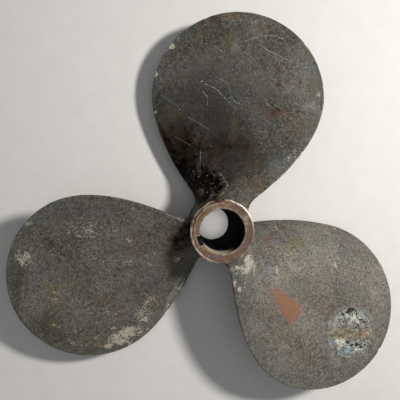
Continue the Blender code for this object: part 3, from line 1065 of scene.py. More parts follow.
def scratch_marks(points, scratches):
    """The nearest of these scratches at each point: signed distance, half width and strength."""
    nearest = np.full(len(points), 1e3)
    side = np.full(len(points), 1e3)
    width = np.full(len(points), 0.3)
    share = np.zeros(len(points))
    for corners, half_width, strength in scratches:
        for start, end in zip(corners, corners[1:]):
            one_side, gap = segment_gap(points, start, end)
            closer = gap < nearest
            nearest[closer] = gap[closer]
            side[closer] = one_side[closer]
            width[closer] = half_width
            share[closer] = strength
    return side, width, share * (1 - soft_step(nearest, *SCRATCH_REACH))


def inside_outline(points, corners):
    """How far inside a convex outline given clockwise, in mm, below 0 outside."""
    depths = []
    for start, end in zip(corners, corners[1:] + corners[:1]):
        way = (Vector(end) - Vector(start)).normalized()
        offset = points[:, :2] - start
        depths.append(offset[:, 0] * way.y - offset[:, 1] * way.x)
    return np.min(depths, axis=0)


def mark(piece):
    """Works out where stains, crusts, scratches and bare places lie, and stores them at the mesh's points."""
    mesh = piece.data
    points = read_points(mesh) * 1000
    forward = soft_step(read_normals(mesh)[:, 2], -0.1, 0.3)
    lumps = [(11, 2.1, 0.9), (4, 6.4, 0.9), (2, 8.8, 0.5)]
    ragged = sum((uneven(points, size, seed) - 0.5) * share for size, seed, share in lumps)
    wavy = points.copy()
    for axis, seed in enumerate((4.4, 7.7)):
        wavy[:, axis] += (uneven(points, 5, seed) - 0.5) * 3
    stain_colour, stain_share = laid_over(wavy, ragged, STAINS)
    hub_colour, hub_share = laid_over(points, ragged * 0.5, HUB_STAINS)
    place = wavy * 0.3 + points * 0.7
    away = [np.hypot(place[:, 0] - x, place[:, 1] - y) / radius for x, y, radius in SPECKS]
    specks = soft_step(1.25 - np.min(away, axis=0), 0, 0.9) * 0.78
    marks = {
        "faces_forward": forward,
        "stain_colour": stain_colour,
        "stain_share": stain_share * forward,
        "tone_shift": np.sum([ellipse_share(points, ragged * 0.3, *one) for one in BLADE_LIGHT_AND_SHADE], axis=0),
        "hub_stain_colour": hub_colour,
        "hub_stain_share": hub_share,
        "rim_bright": greatest(points, ragged * 0.4, RIM_HIGHLIGHT_AND_WEAR),
        "smoke_share": greatest(wavy, ragged * 0.6, PAINTED_SHADE_PLACES),
        "scale_share": greatest(wavy, ragged, PAINTED_DEEP_SHADE),
        "crust_share": np.maximum(greatest(wavy, ragged * 1.1, CRUSTS), specks),
        "copper_depth": inside_outline(points, COPPER_PATCH),
    }
    for layer, scratches in (("scratch", SCRATCHES), ("fine_scratch", FINE_SCRATCHES)):
        for kind, values in zip(("gap", "width", "share"), scratch_marks(points, scratches)):
            marks[f"{layer}_{kind}"] = values
    for name, values in marks.items():
        carry(mesh, name, values)


# Finish of the casting
def in_mm(nodes):
    """Object coordinates in millimetres, whole and with the height dropped."""
    place = nodes.add("ShaderNodeTexCoord", {}, {}, output="Object")
    place = nodes.add("ShaderNodeVectorMath", {"operation": "SCALE"}, {0: place, "Scale": 1000})
    return place, nodes.across(place, "MULTIPLY", (1, 1, 0))


def surface(name):
    """A new material and its empty node tree."""
    material = bpy.data.materials.new(name)
    material.use_nodes = True
    material.node_tree.nodes.clear()
    return material, Nodes(material.node_tree)


def finish(nodes, values):
    shader = nodes.add("ShaderNodeBsdfPrincipled", {}, values)
    nodes.add("ShaderNodeOutputMaterial", {}, {"Surface": shader})


class Skin:
    """The casting's finish, laid on coat by coat, with the places in mm and the noises that coats share."""

    def __init__(self, nodes):
        self.nodes = nodes
        self.colour = None
        self.place, self.flat = in_mm(nodes)
        self.height = nodes.split(self.place)[2]
        self.below = FORE_FACE * 1000 - self.height
        self.radius = nodes.length(self.flat)
        self.forward = nodes.carried("faces_forward")
        self.tone_shift = nodes.carried("tone_shift")
        self.edge_gap = nodes.carried("edge_gap") * 1000
        self.on_hub = nodes.stretch(self.edge_gap, FAR_FROM_EDGE * 300, FAR_FROM_EDGE * 500)
        self.broad = self.lumps(42, 3, 0.55, 1)
        self.middle = self.lumps(11, 5, 0.62, 2)
        self.small = self.lumps(3.6, 4, 0.62, 3)
        self.fine = self.lumps(1.5, 3, 0.60, 4)
        self.grain = self.lumps(0.8, 2, 0.50, 5)
        self.tint = self.lumps(20, 4, 0.60, 6) + self.fine * 0.35
        self.other_tint = self.lumps(17, 4, 0.60, 7) + self.fine * 0.35
        self.pits = nodes.smooth(self.lumps(1.9, 3, 0.60, 9), 0.08, 0.20)
        wander = nodes.noise(self.place, 5, 3, 0.5, 8).output("Color")
        wander = nodes.across(wander, "SUBTRACT", (0.5, 0.5, 0.5))
        self.wavy = nodes.across(self.flat, "ADD", nodes.across(wander, "MULTIPLY", (2.2, 2.2, 0)))

    def lumps(self, size, detail, roughness, seed):
        """Noise around 0, with lumps of about this size."""
        return self.nodes.noise(self.place, size, detail, roughness, seed) - 0.5

    def coat(self, colour, share):
        """Lays a colour over what is there, by a share from 0 to 1."""
        self.colour = self.nodes.tinted(self.colour, colour, share)

    def along(self, x, y):
        """How far each place lies from the shaft in a flat direction."""
        return self.nodes.across(self.flat, "DOT_PRODUCT", (x, y, 0), output="Value")


def patina(skin):
    """Brown-grey, darker and paler in lumps of every size, with faint tints and a green cast by the edges."""
    nodes, shift = skin.nodes, skin.tone_shift
    frost = nodes.fade(abs(skin.small), 0, 0.055)
    detail = skin.small * 0.9 + skin.fine * 1.35
    # The blades' painted light and shade raises or lowers the tone here
    tone = 0.47 + skin.broad * 0.7 + skin.middle * (0.5 - shift) + detail * (1.1 - shift * 0.5) + shift
    tone = tone + skin.grain * 0.7 + frost * nodes.smooth(skin.middle, -0.10, 0.10) * 0.14
    tones = [(0.20, DARK_PATINA), (0.50, PATINA), (0.86, PALE_PATINA), (1, PALE_GREY)]
    skin.colour = nodes.ramp(tone, tones)
    skin.coat(GREEN_GREY, nodes.smooth(skin.tint, -0.02, 0.18) * 0.45)
    skin.coat(RED_BROWN, nodes.smooth(-skin.tint, 0.04, 0.24) * 0.28)
    skin.coat(BLUE_GREY, nodes.smooth(skin.other_tint, 0.04, 0.22) * 0.27)
    skin.coat(OLIVE, nodes.smooth(-skin.other_tint, 0.04, 0.22) * 0.30)
    near_edge = nodes.fade(skin.edge_gap, 2, 13) * nodes.smooth(skin.middle, -0.15, 0.12)
    skin.coat(GREEN_GREY, near_edge * 0.50)


def stains(skin):
    """Stains, broken up by the finest noises, then pale specks and dark pits over all."""
    nodes = skin.nodes
    share = nodes.carried("stain_share") * (1 + skin.fine * 0.9 + skin.small * 0.6)
    skin.coat(nodes.carried("stain_colour", "Color"), nodes.held(share))
    speckle = nodes.smooth(skin.grain + skin.fine * 0.7 + skin.tone_shift * 0.24, 0.08, 0.24)
    skin.coat(PALE_GREY, speckle * 0.50)
    skin.coat(DARK_PATINA, skin.pits * 0.60)


def painted_shade_coats(skin):
    """Painted shade, uneven like the patina, then near-black painted deep shade by the root with paler flakes
    over it. Gives the painted shade.
    """
    nodes = skin.nodes
    smoke = nodes.carried("smoke_share") * skin.forward
    smoke = smoke * (1 + skin.middle * 2.4 + skin.small * 2.0 + skin.fine * 1.5)
    shade_tone = 0.5 - skin.tint + skin.small * 0.5
    shade_colour = nodes.ramp(shade_tone, [(0.42, SHADE_GREEN), (0.50, SHADE_BROWN), (0.60, SHADE_RED)])
    # Painted shade: dark gold, then brown-black where it is strongest
    skin.coat(DARK_GOLD, nodes.stretch(smoke, 0.35, 0.85))
    skin.coat(shade_colour, nodes.held(smoke))
    # Painted deep shade, near black, with paler flakes over it
    deep_shade = nodes.carried("scale_share") * skin.forward
    ragged = nodes.smooth(deep_shade + skin.small * 0.9 + skin.fine * 0.7, 0.12, 0.74)
    deep_shade = ragged * nodes.stretch(deep_shade, 0, 0.25)
    skin.coat(NEAR_BLACK, deep_shade)
    flakes = nodes.smooth(skin.lumps(2.8, 4, 0.7, 11), 0.08, 0.20) * deep_shade
    flake_tones = [(0.40, FLAKE_GREY), (0.48, FLAKE_RED), (0.56, FLAKE_RED), (0.62, FLAKE_GREY)]
    skin.coat(nodes.ramp(0.5 + skin.middle, flake_tones), flakes * 0.70)
    return smoke


def bare_copper(skin):
    """Copper that shows through in one patch. Gives where it is bare."""
    nodes = skin.nodes
    depth = nodes.carried("copper_depth") + skin.small * 6.5 + skin.middle * 6
    bare = nodes.smooth(depth, -3.0, 5.6) * skin.forward
    copper_tone = nodes.stretch(depth + skin.middle * 9, -2, 9)
    copper = nodes.ramp(copper_tone, [(0.1, COPPER_PINK), (0.5, COPPER), (0.9, COPPER_TAN)])
    skin.coat(copper, bare * (0.875 + skin.small * 0.35))
    return bare


def scratch_lines(skin):
    """Scratches, bright where they catch bare metal, and one dark cut. Gives both."""
    nodes = skin.nodes
    lines = []
    for layer in ("scratch", "fine_scratch"):
        gap = abs(nodes.carried(f"{layer}_gap") + skin.small * 0.9)
        line = nodes.fade(gap / nodes.carried(f"{layer}_width"), 0.35, 1.35)
        lines.append(line * nodes.carried(f"{layer}_share"))
    bright = nodes.held(nodes.most(*lines)) * skin.forward
    bright = bright * nodes.stretch(skin.fine + skin.grain * 0.8, -0.14, 0.06)
    cut = nodes.held(-lines[0]) * skin.forward
    skin.coat(SCRATCH_PALE, bright * 0.95)
    skin.coat(NEAR_BLACK, cut * 0.90)
    return bright, cut


def crusts(skin, smoke):
    """A pale line along the blade edges, painted highlight, then crusts and flecks of lime. Gives the crust.
    """
    nodes = skin.nodes
    crust = nodes.carried("crust_share")
    edge_highlight = nodes.smooth(skin.middle + skin.fine * 0.5 + crust * 0.5, -0.02, 0.12)
    edge_highlight = edge_highlight * nodes.fade(skin.edge_gap, 0.3, 1.3)
    skin.coat(PALE_GREY, edge_highlight * 0.55)
    skin.coat(CREAM, edge_highlight * crust * 0.90)
    ragged = nodes.smooth(crust + skin.fine * 1.5 + skin.grain * 1.3, 0.30, 0.88)
    crust = ragged * nodes.stretch(crust, 0, 0.2) * skin.forward
    flecks = nodes.smooth(skin.lumps(1.25, 2, 0.5, 10) + skin.broad * 0.25, 0.16, 0.24) * skin.forward
    crust = nodes.most(crust, flecks * nodes.held(1 - smoke * 1.6) * 0.45)
    crust_tone = 0.5 + skin.grain + skin.small * 0.8
    crust_colour = nodes.ramp(crust_tone, [(0.30, GUM_TAN), (0.50, CREAM), (0.70, BLUE_WHITE)])
    skin.coat(crust_colour, crust * 0.85)
    return crust


def label_gum(skin):
    """Gum of the label: a mottled blue-green film, a tan band across and a thin ring. Gives where it lies."""
    nodes, small, fine = skin.nodes, skin.small, skin.fine
    offset = nodes.across(skin.wavy, "SUBTRACT", (*LABEL_MIDDLE, 0))
    x, y, _ = nodes.split(offset)
    out = nodes.length(offset)
    inside = nodes.fade(out + small * 6, LABEL_RADIUS - 3.5, LABEL_RADIUS - 0.5) * skin.forward

    film_tone = 0.5 + fine * 1.9 + small * 1.5 + skin.grain * 0.9
    film = nodes.ramp(film_tone, [(0.20, FILM_DARK), (0.48, GUM_GREY), (0.78, GUM_GREEN), (1, BLUE_WHITE)])
    outer = nodes.smooth(out + abs(y) * 0.5 + x * 0.12, 10, 18)
    skin.coat(film, inside * outer * nodes.smooth(skin.middle + small, -0.24, -0.02) * 0.90)

    band_tone = 0.5 + fine * 1.3 + small * 1.2
    tans = [(0.16, SMOKE_GREY), (0.44, BAND_BROWN), (0.74, GUM_TAN), (1, PALE_GREY)]
    mauves = [(0.22, SMOKE_GREY), (0.46, BAND_MAUVE), (0.72, PALE_GREY), (0.92, BLUE_WHITE)]
    above = nodes.smooth(y + skin.middle * 8, 0.5, 4)
    band_colour = nodes.tinted(nodes.ramp(band_tone, tans), nodes.ramp(band_tone, mauves), above)
    skin.coat(band_colour, inside * nodes.fade(abs(y - 0.5), 6, 10) * 0.80)

    from_orange = nodes.length(nodes.across(offset, "SUBTRACT", LABEL_ORANGE))
    orange = nodes.fade(from_orange, 1, 5) * nodes.smooth(fine + small, -0.10, 0.10)
    skin.coat(RUST_ORANGE, orange * skin.forward * 0.65)

    ring = nodes.fade(abs(out - LABEL_RADIUS), 0.15, 0.65) * nodes.smooth(small + fine * 0.6, -0.10, 0.06)
    ring = ring * (0.32 + nodes.smooth(-y - x * 0.6, -4, 8) * 0.55)
    skin.coat(GUM_GREEN, ring * skin.forward)
    return inside


def machined_ends(skin):
    """Brown machined ends of the hub and its brown wall. Gives the forward end, and both ends."""
    nodes, small, fine = skin.nodes, skin.small, skin.fine
    tone = 0.5 + skin.middle * 0.9 + small * 1.1 + fine * 1.1
    machined = nodes.ramp(tone, [(0.2, RED_BROWN), (0.5, HUB_BROWN), (0.85, GUM_TAN)])
    share = nodes.held(nodes.carried("hub_stain_share") * (1 + fine * 1.2 + small * 0.8))
    machined = nodes.tinted(machined, nodes.carried("hub_stain_colour", "Color"), share)
    machined = nodes.tinted(machined, DARK_GOLD, skin.pits * 0.35)
    from_end = HALF_HUB_MM - abs(skin.height - HUB_MIDDLE_MM)
    ends = nodes.fade(from_end, 0.12, 0.45) * skin.on_hub
    forward_end = nodes.fade(skin.below, 0.12, 0.62) * skin.on_hub
    skin.coat(machined, ends)
    wall_brown = nodes.smooth(skin.height, 6, 30) * (0.55 + nodes.smooth(small, -0.14, 0.10) * 0.45)
    skin.coat(HUB_GOLD, skin.on_hub * (1 - ends) * wall_brown * 0.85)
    return forward_end, ends


def rim_finish(skin, forward_end):
    """The hub's rim: dark gold on one side, bright on the others from wear and painted highlight. Gives the
    rim and its bright places.
    """
    nodes, small, middle = skin.nodes, skin.small, skin.middle
    bright = nodes.carried("rim_bright")
    chamfer = nodes.fade(skin.below, 1.1, 1.9) * (1 - forward_end) * skin.on_hub
    chamfer = chamfer * nodes.smooth(skin.radius, 21.6, 22.2)
    rim = nodes.most(chamfer, nodes.smooth(skin.radius + small * 1.2, 23.5, 24.1) * forward_end)
    gold = nodes.smooth(skin.along(-0.80, 0.60) + small * 3, 12, 17) * nodes.smooth(skin.radius, 21.6, 22.1)
    gold = gold * nodes.smooth(skin.height, 15, 25) * skin.on_hub
    skin.coat(DARK_GOLD, nodes.most(gold, rim * (1 - bright) * 0.5) * 0.92)
    gold_line = nodes.fade(abs(skin.radius - 21.9 + small * 0.8), 0.15, 0.45) * gold
    gold_line = gold_line * nodes.smooth(middle + skin.fine, -0.14, 0.10) * 0.6
    edge_line = nodes.fade(skin.below, 0.45, 0.75) * (1 - forward_end) * chamfer * (1 - gold) * 0.8
    highlight_and_wear = nodes.most(bright, nodes.smooth(small + middle, -0.08, 0.16) * 0.35)
    highlight_and_wear = nodes.most(highlight_and_wear, edge_line) * rim
    highlight_and_wear = highlight_and_wear * nodes.stretch(skin.fine + small * 0.7, -0.28, -0.04)
    # Wear and painted highlight, in one bright bronze
    skin.coat(BRIGHT_BRONZE, nodes.most(highlight_and_wear, gold_line))
    return rim, highlight_and_wear


def bore_edge(skin, forward_end):
    """A cream line round the mouth of the bore and of the keyway."""
    nodes = skin.nodes
    mouth = nodes.fade(skin.radius, 18.1, 18.6) * nodes.fade(skin.below, 0.5, 0.75)
    along = skin.along(math.cos(KEYWAY_TURN), math.sin(KEYWAY_TURN))
    across = skin.along(-math.sin(KEYWAY_TURN), math.cos(KEYWAY_TURN))
    past_side = abs(across) - KEYWAY_WIDTH * 500
    past_floor = along - (BORE_FORE_RADIUS + KEYWAY_DEPTH) * 1000
    slot = nodes.fade(nodes.most(past_side, past_floor), 0.45, 0.9) * nodes.smooth(along, 15, 16)
    edge = nodes.most(mouth, slot * forward_end) * skin.on_hub
    skin.coat(CREAM, edge * (0.30 + nodes.smooth(skin.small + skin.fine * 0.5, -0.08, 0.10) * 0.60))


def bore_wall(skin):
    """The dark wall of the bore, painted near black as shade, with painted light where the light falls in.
    Gives where it is.
    """
    nodes = skin.nodes
    deep = nodes.fade(skin.radius, 20.9, 21.1) * nodes.smooth(skin.below, 0.6, 1.4)
    deep = deep * skin.on_hub * nodes.smooth(skin.height, AFT_FACE * 1000 + 0.5, AFT_FACE * 1000 + 2)
    lit = nodes.smooth(skin.along(-0.30, -0.95), 8, 14.5) * nodes.fade(skin.below, 9, 18)
    skin.coat(nodes.tinted(PAINTED_BORE_SHADE, LIT_BORE, lit * (0.95 + skin.small * 0.5)), deep)
    return deep


def weathered_bronze():
    """Old bronze: brown-grey patina with stains, crusts and scratches, and brown machined ends on the hub."""
    material, nodes = surface("patinated_bronze")
    skin = Skin(nodes)
    patina(skin)
    stains(skin)
    smoke = painted_shade_coats(skin)
    bare = bare_copper(skin)
    bright, cut = scratch_lines(skin)
    crust = crusts(skin, smoke)
    gum = label_gum(skin)
    forward_end, ends = machined_ends(skin)
    rim, worn = rim_finish(skin, forward_end)
    bore_edge(skin, forward_end)
    deep = bore_wall(skin)

    # Bare metal shines, patina is satin, crust is dull
    metal = 0.25 + bare * 0.15 + bright * 0.2 + ends * 0.12 - crust * 0.4 - worn * 0.3
    metal = nodes.held(metal - gum * 0.3 - deep)
    rough = 0.62 + skin.small * 0.35 + skin.middle * 0.2 + crust * 0.3
    rough = nodes.held(rough - rim * 0.10 - forward_end * 0.04 + deep * 0.4)

    # Fine relief: cast grain, pits, crust that stands proud, cut scratches and turning marks
    turning = nodes.sine(skin.radius * 9 + skin.small * 3) * 0.012 * ends
    relief = skin.fine * 0.30 + skin.grain * 0.16 + skin.small * 0.22 - skin.pits * 0.10
    relief = relief * (1 - ends * 0.75) + crust * 0.22 - bright * 0.16 - cut * 0.3 + turning
    bump = nodes.add("ShaderNodeBump", {}, {"Strength": 0.8, "Distance": 0.001, "Height": relief})
    finish(nodes, {
        "Base Color": skin.colour,
        "Metallic": metal,
        "Roughness": rough,
        "Normal": bump,
        "Specular IOR Level": 0.05,
    })
    return material


def scrap_surface(name, tones, roughness):
    """Torn label stock or lime in a dark, a middle and a pale tone: mottled, stained, with fibres."""
    material, nodes = surface(name)
    place, _ = in_mm(nodes)
    blotch = nodes.noise(place, 3.2, 4, 0.6, 21)
    fibre = nodes.noise(place, 0.7, 3, 0.6, 22)
    tone = 0.5 + (blotch - 0.5) * 1.5 + (fibre - 0.5) * 0.9
    colour = nodes.ramp(tone, list(zip((0.22, 0.45, 0.80), tones)))
    relief = fibre * 0.12 + blotch * 0.1
    bump = nodes.add("ShaderNodeBump", {}, {"Strength": 0.6, "Distance": 0.001, "Height": relief})
    rough = nodes.held(roughness + (fibre - 0.5) * 0.4)
    finish(nodes, {"Base Color": colour, "Roughness": rough, "Normal": bump, "Specular IOR Level": 0.15})
    return material


# Label scraps: middle x and y from the label's own middle, half length and width in mm, turn in degrees,
# then how ragged the edge is
LABEL_SCRAPS = {
    "label_paper": [
        (1.6, 10.8, 4.3, 2.6, 60, 0.75),
        (5.0, 9.2, 3.8, 1.9, -35, 0.60),
        (-4.7, 12.8, 1.8, 1.4, 10, 0.70),
        (-8.2, 11.8, 2.2, 0.7, 0, 0.50),
        (7.2, 11.9, 2.2, 1.0, -20, 0.50),
        (-2.1, 6.7, 2.2, 1.3, 10, 0.70),
        (-9.9, -8.8, 3.7, 4.2, 6, 0.55),
        (-5.9, -10.1, 0.9, 2.9, 14, 0.50),
        (2.0, -9.4, 2.0, 0.8, 10, 0.60),
        (-1.6, -13.3, 1.7, 0.8, 0, 0.60),
        (6.0, -15.2, 2.6, 0.9, 8, 0.80),
        (-10.6, -14.2, 1.7, 1.1, -20, 0.60),
        (10.4, -14.9, 1.7, 0.8, 24, 0.60),
        (15.1, -0.5, 0.9, 1.2, 0, 0.60),
    ],
    "label_ink": [
        (-1.6, 17.4, 3.3, 2.3, 18, 0.45),
        (-4.8, 15.8, 1.6, 0.9, 0, 0.50),
        (3.4, 15.6, 1.5, 2.5, -10, 0.55),
        (-8.5, 13.9, 1.8, 1.1, -12, 0.50),
        (8.2, 9.8, 2.2, 0.8, 4, 0.50),
        (12.0, 8.0, 1.6, 0.7, -24, 0.60),
        (6.4, 4.9, 0.8, 0.7, 0, 0.50),
        (-2.9, -9.3, 2.1, 1.1, -14, 0.50),
        (1.1, -11.7, 1.6, 1.2, 30, 0.60),
        (5.9, -10.7, 2.2, 1.5, -20, 0.55),
        (9.9, -12.8, 1.9, 1.1, -20, 0.50),
        (13.4, -11.1, 0.9, 1.1, 0, 0.50),
        (1.8, -16.4, 0.8, 0.9, 0, 0.50),
    ],
    "label_blue": [
        (-1.3, -16.7, 2.5, 2.0, 4, 0.50),
        (-5.4, -15.9, 1.8, 1.9, 4, 0.50),
        (2.4, -17.6, 1.6, 0.9, 8, 0.60),
        (-14.8, -8.6, 1.1, 2.8, 14, 0.55),
    ],
}
SCRAP_RINGS = 6
SCRAP_SPOKES = 44
SCRAP_THICKNESS = 0.00016
SCRAP_CURL = 0.00022
SCRAP_SINK = 0.00003
SCRAP_SHARP_ANGLE = math.radians(50)
ABOVE_ALL = 0.2


def surface_under(tree, x, y):
    """Height of the casting's forward side at x and y."""
    return tree.ray_cast(Vector((x, y, ABOVE_ALL)), Vector((0, 0, -1)))[0].z


def scrap(maker, tree, x, y, half_x, half_y, turn, raggedness, seed):
    """One torn scrap: a thin closed sheet that lies on the blade, its edge a little curled."""
    turned_by = Matrix.Rotation(math.radians(turn), 2)
    sides = [[], []]
    for ring in range(SCRAP_RINGS + 1):
        share = ring / SCRAP_RINGS
        spokes = SCRAP_SPOKES if ring else 1
        for spoke in range(spokes):
            angle = math.tau * spoke / SCRAP_SPOKES
            way = Vector((math.cos(angle), math.sin(angle)))
            torn = noise.fractal(Vector((*way * 1.6, seed)), 0.8, 2.2, 5)
            torn += 0.5 * noise.noise(Vector((*way * 7, seed + 9)))
            reach = share * (1 + raggedness * (torn - 0.25))
            flat = turned_by @ Vector((way.x * half_x, way.y * half_y)) * reach / 1000
            place = Vector((x, y)) / 1000 + flat
            height = surface_under(tree, place.x, place.y)
            curl = SCRAP_CURL * share ** 4 * (0.5 + noise.noise(Vector((*way * 3, seed + 4))))
            lumps = 0.4 * SCRAP_THICKNESS * noise.noise(Vector((place.x, place.y, seed)) * 900)
            top = height + SCRAP_THICKNESS + max(curl, 0) + lumps
            sides[0].append(maker.verts.new((place.x, place.y, top)))
            sides[1].append(maker.verts.new((place.x, place.y, height - SCRAP_SINK)))
    for points, turned_over in zip(sides, (False, True)):
        for ring in range(SCRAP_RINGS):
            for spoke in range(SCRAP_SPOKES):
                after = (spoke + 1) % SCRAP_SPOKES
                outer = 1 + ring * SCRAP_SPOKES
                inner = outer - SCRAP_SPOKES
                if ring:
                    corners = [inner + spoke, outer + spoke, outer + after, inner + after]
                else:
                    corners = [0, outer + spoke, outer + after]
                if turned_over:
                    corners.reverse()
                maker.faces.new([points[corner] for corner in corners])
    rim = 1 + (SCRAP_RINGS - 1) * SCRAP_SPOKES
    for spoke in range(SCRAP_SPOKES):
        after = (spoke + 1) % SCRAP_SPOKES
        top, bottom = sides
        maker.faces.new((top[rim + spoke], bottom[rim + spoke], bottom[rim + after], top[rim + after]))


def label_piece(name, scraps, tree, material):
    maker = bmesh.new()
    for seed, (x, y, half_x, half_y, turn, raggedness) in enumerate(scraps):
        middle = Vector(LABEL_MIDDLE) + Vector((x, y))
        scrap(maker, tree, middle.x, middle.y, half_x, half_y, turn, raggedness, seed * 5.3 + len(name))
    bmesh.ops.recalc_face_normals(maker, faces=maker.faces)
    mesh = mesh_of(maker, name)
    mesh.materials.append(material)
    mesh.shade_smooth()
    mesh.set_sharp_from_angle(angle=SCRAP_SHARP_ANGLE)
    return object_of(mesh, name)


# Crumbs: where they gather, as middle x and y, half length and width in mm, turn in degrees,
# then how many there are on a square millimetre
LIME_SPOTS = [
    (-50, 145, 4.2, 2.6, 35, 1.2),
    (-61, 122, 1.4, 2.4, 0, 1.2),
    (-153, -37, 9, 8, 0, 0.55),
    (-63, -95.5, 12, 6, 18, 1.1),
    (-78, -108, 8, 3.2, 12, 0.9),
    (-56, -97, 5, 5, 0, 0.9),
    (-51, -80, 5, 5, -45, 0.50),
    # These pale crumbs help paint the highlight along the left blade's lower edge
    (-31, -62, 1.8, 20, -20, 0.60),
    (20.5, -28.5, 4, 3, -30, 1.3),
    (25, -21, 1.6, 6.4, -14, 0.9),
    (14.5, -30, 4, 2, 10, 1.2),
    (24, -33, 2.2, 3.6, 0, 0.9),
    (19.5, -45.5, 2, 1.2, 0, 2.0),
    (14.6, -40.5, 1.2, 1, 0, 2.0),
    (24, -43, 1.3, 1, 0, 1.6),
    (48, -54.5, 4, 1, -28, 1.0),
    (-103, -9, 13, 11, 0, 0.14),
    (-99.6, -31.8, 1.1, 1.1, 0, 2.2),
    (-81, -7, 1.3, 1, 0, 1.4),
    (-69, 11.4, 2, 1.5, 0, 0.8),
    (-88, -79, 3, 2, 0, 0.5),
    (-126, -91, 3, 1.5, 0, 0.5),
    (-111, -94, 5, 2, 0, 0.25),
    (105, -26, 5, 6, 20, 0.30),
    (129, -40, 2.4, 1.4, 0, 1.0),
    (54, 62, 3, 9, -30, 0.25),
    (44, 49, 3, 6, -35, 0.30),
    (71, 114, 2.6, 3.6, 0, 0.50),
    (-19.3, 117.2, 0.8, 0.8, 0, 2.5),
    (-14, 36, 14, 16, 0, 0.10),
    (-105, -9, 13, 8, 12, 0.40),
    (-70, -15, 8, 4, 0, 0.40),
    (-86, -78, 12, 8, 0, 0.20),
    (60, -26, 20, 14, 0, 0.12),
    (2, 100, 60, 62, 0, 0.004),
    (-95, -55, 60, 52, 30, 0.022),
    (95, -55, 56, 50, -30, 0.024),
]
LABEL_SPOTS = [
    (LABEL_MIDDLE[0] + 2, LABEL_MIDDLE[1] + 10, 13, 6, -8, 0.45),
    (LABEL_MIDDLE[0] + 1, LABEL_MIDDLE[1] - 11, 15, 6, 0, 0.50),
    (LABEL_MIDDLE[0], LABEL_MIDDLE[1], 20, 20, 0, 0.10),
]


def crumb_number(nodes, position, spots):
    """Crumbs per square metre: the most that any ragged spot asks for, and none on the hub."""
    place = nodes.across(position, "MULTIPLY", (1000, 1000, 0))
    ragged = nodes.noise(place, 6, 3, 0.6, 31) - 0.5
    numbers = []
    for x, y, half_x, half_y, turn, amount in spots:
        offset = nodes.across(place, "SUBTRACT", (x, y, 0))
        turned_back = {"Vector": offset, "Angle": -math.radians(turn)}
        offset = nodes.add("ShaderNodeVectorRotate", {"rotation_type": "Z_AXIS"}, turned_back)
        out = nodes.length(nodes.across(offset, "DIVIDE", (half_x, half_y, 1)))
        numbers.append(nodes.smooth(1.15 - out + ragged * 1.2, 0, 0.5) * (amount * 1e6))
    up = nodes.split(nodes.add("GeometryNodeInputNormal", {}, {}))[2]
    off_hub = nodes.math("GREATER_THAN", nodes.length(place), HUB_FORE_RADIUS * 1000)
    return nodes.most(*numbers) * nodes.stretch(up, 0.25, 0.5) * off_hub


def random_number(nodes, low, high, seed):
    values = {"Min_001": low, "Max_001": high, "Seed": seed}
    return nodes.add("FunctionNodeRandomValue", {"data_type": "FLOAT"}, values, output="Value_001")


def crumbs(name, host, spots, material, smallest, largest, flatness, seed):
    """Crumbs of irregular size scattered over spots of the host's forward side."""
    nodes = geometry_tree(f"{name}_rule")
    ground = nodes.named("Ground", "Object", host)
    small_end = nodes.named("Smallest", "Float", smallest)
    large_end = nodes.named("Largest", "Float", largest)
    flat_share = nodes.named("Flatness", "Float", flatness)
    skin = nodes.add("GeometryNodeObjectInfo", {}, {"Object": ground}, output="Geometry")
    position = nodes.add("GeometryNodeInputPosition", {}, {})
    scattered = {"Mesh": skin, "Density": crumb_number(nodes, position, spots), "Seed": seed}
    spread = nodes.add(
        "GeometryNodeDistributePointsOnFaces", {"distribute_method": "RANDOM"}, scattered, output="Points"
    )
    lump = nodes.add("GeometryNodeMeshIcoSphere", {}, {"Radius": 1, "Subdivisions": 1})
    size = small_end + (large_end - small_end) * random_number(nodes, 0, 1, seed + 1) ** 3
    turn = {"Axis": (0, 0, 1), "Angle": random_number(nodes, 0, math.tau, seed + 2)}
    turn = nodes.add("FunctionNodeAxisAngleToRotation", {}, turn)
    leaning = {0: spread.output("Rotation"), 1: turn}
    leaning = nodes.add("FunctionNodeRotateRotation", {"rotation_space": "LOCAL"}, leaning)
    shape = nodes.vector(size * random_number(nodes, 0.6, 1.4, seed + 3), size, size * flat_share)
    values = {"Points": spread, "Instance": lump, "Rotation": leaning, "Scale": shape}
    placed = nodes.add("GeometryNodeInstanceOnPoints", {}, values)
    return grown(nodes, placed, material, name)


# Making
propeller = casting(weathered_bronze())
wear(propeller)
mark(propeller)
faces = [tuple(face.vertices) for face in propeller.data.polygons]
ground = BVHTree.FromPolygons([Vector(point) for point in read_points(propeller.data)], faces)

paper = scrap_surface("label_paper", PAPER_TONES, 0.75)
ink = scrap_surface("label_ink", INK_TONES, 0.70)
blue = scrap_surface("label_blue", BLUE_TONES, 0.60)
lime = scrap_surface("lime_crust", LIME_TONES, 0.85)
pieces = [propeller]
for name, worn in (("label_paper", paper), ("label_ink", ink), ("label_blue", blue)):
    pieces.append(label_piece(name, LABEL_SCRAPS[name], ground, worn))
pieces.append(crumbs("lime_crumbs", propeller, LIME_SPOTS, lime, 0.00012, 0.00058, 0.40, 11))
pieces.append(crumbs("paper_crumbs", propeller, LABEL_SPOTS, paper, 0.00020, 0.00070, 0.25, 23))
pieces.append(crumbs("ink_crumbs", propeller, LABEL_SPOTS[:2], ink, 0.00020, 0.00080, 0.25, 37))
pieces.append(crumbs("blue_crumbs", propeller, LABEL_SPOTS[:2], blue, 0.00015, 0.00050, 0.25, 53))

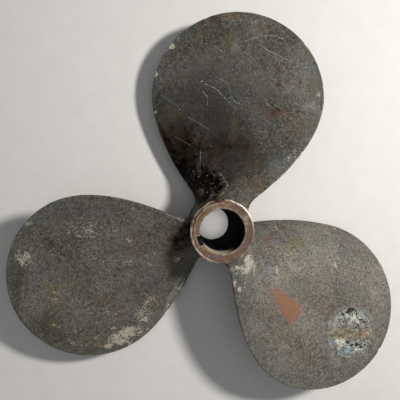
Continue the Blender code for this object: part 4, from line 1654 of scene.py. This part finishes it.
# Camera at the photograph's angle, turned in degrees
CAMERA_PLACE = (-0.0642354, 0.0426230, 0.4725105)
CAMERA_TURN = (-3.0864, -5.5378, 5.1093)
eye = object_of(bpy.data.cameras.new("camera"), "camera")
eye.location = CAMERA_PLACE
eye.rotation_euler = Euler([math.radians(turn) for turn in CAMERA_TURN])
eye.data.lens = 52.10
eye.data.sensor_width = 36
eye.data.clip_start = 0.01
bpy.context.scene.camera = eye

# Soft studio light, and a narrow lamp that lights the floor through the bore: place, power and colour
NARROW_BEAM = {"spot_size": math.radians(1.9), "spot_blend": 0.15, "shadow_soft_size": 0.01}
LAMPS = {
    "key_light": ("AREA", (0.402, 0.261, 0.571), 5.5, (1, 0.965, 0.92), {"shape": "DISK", "size": 0.105}),
    "fill_light": ("AREA", (-0.15, 0.1, 1.6), 3.0, (0.97, 0.98, 1), {"shape": "DISK", "size": 1.4}),
    "bore_light": ("SPOT", (0, 0, 0.9), 20, (1, 0.98, 0.96), NARROW_BEAM),
}
for name, (kind, place, power, colour, settings) in LAMPS.items():
    light = bpy.data.lights.new(name, kind)
    light.energy = power
    light.color = colour
    for setting, value in settings.items():
        setattr(light, setting, value)
    lamp = object_of(light, name)
    lamp.location = place
    lamp.rotation_euler = (-Vector(place)).to_track_quat("-Z", "Y").to_euler()

world = bpy.data.worlds.new("soft_light")
world.use_nodes = True
sky = world.node_tree.nodes["Background"].inputs
sky["Color"].default_value = (0.95, 0.97, 1, 1)
sky["Strength"].default_value = 0.16
bpy.context.scene.world = world
bpy.context.scene.view_settings.view_transform = "Standard"

# Plain pale floor
floor_material, floor_nodes = surface("pale_floor")
plaster = floor_nodes.noise(in_mm(floor_nodes)[0], 14, 5, 0.6, 41)
plaster = floor_nodes.ramp(plaster, [(0.2, (0.70, 0.69, 0.67, 1)), (0.8, (0.76, 0.75, 0.73, 1))])
finish(floor_nodes, {"Base Color": plaster, "Roughness": 0.9})
maker = bmesh.new()
bmesh.ops.create_grid(maker, x_segments=8, y_segments=8, size=3, matrix=Matrix.Translation((0, 0, AFT_FACE)))
floor_mesh = mesh_of(maker, "floor")
floor_mesh.materials.append(floor_material)
floor = object_of(floor_mesh, "floor")

for piece in pieces:
    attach(piece, "root")
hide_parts("propeller_casting")
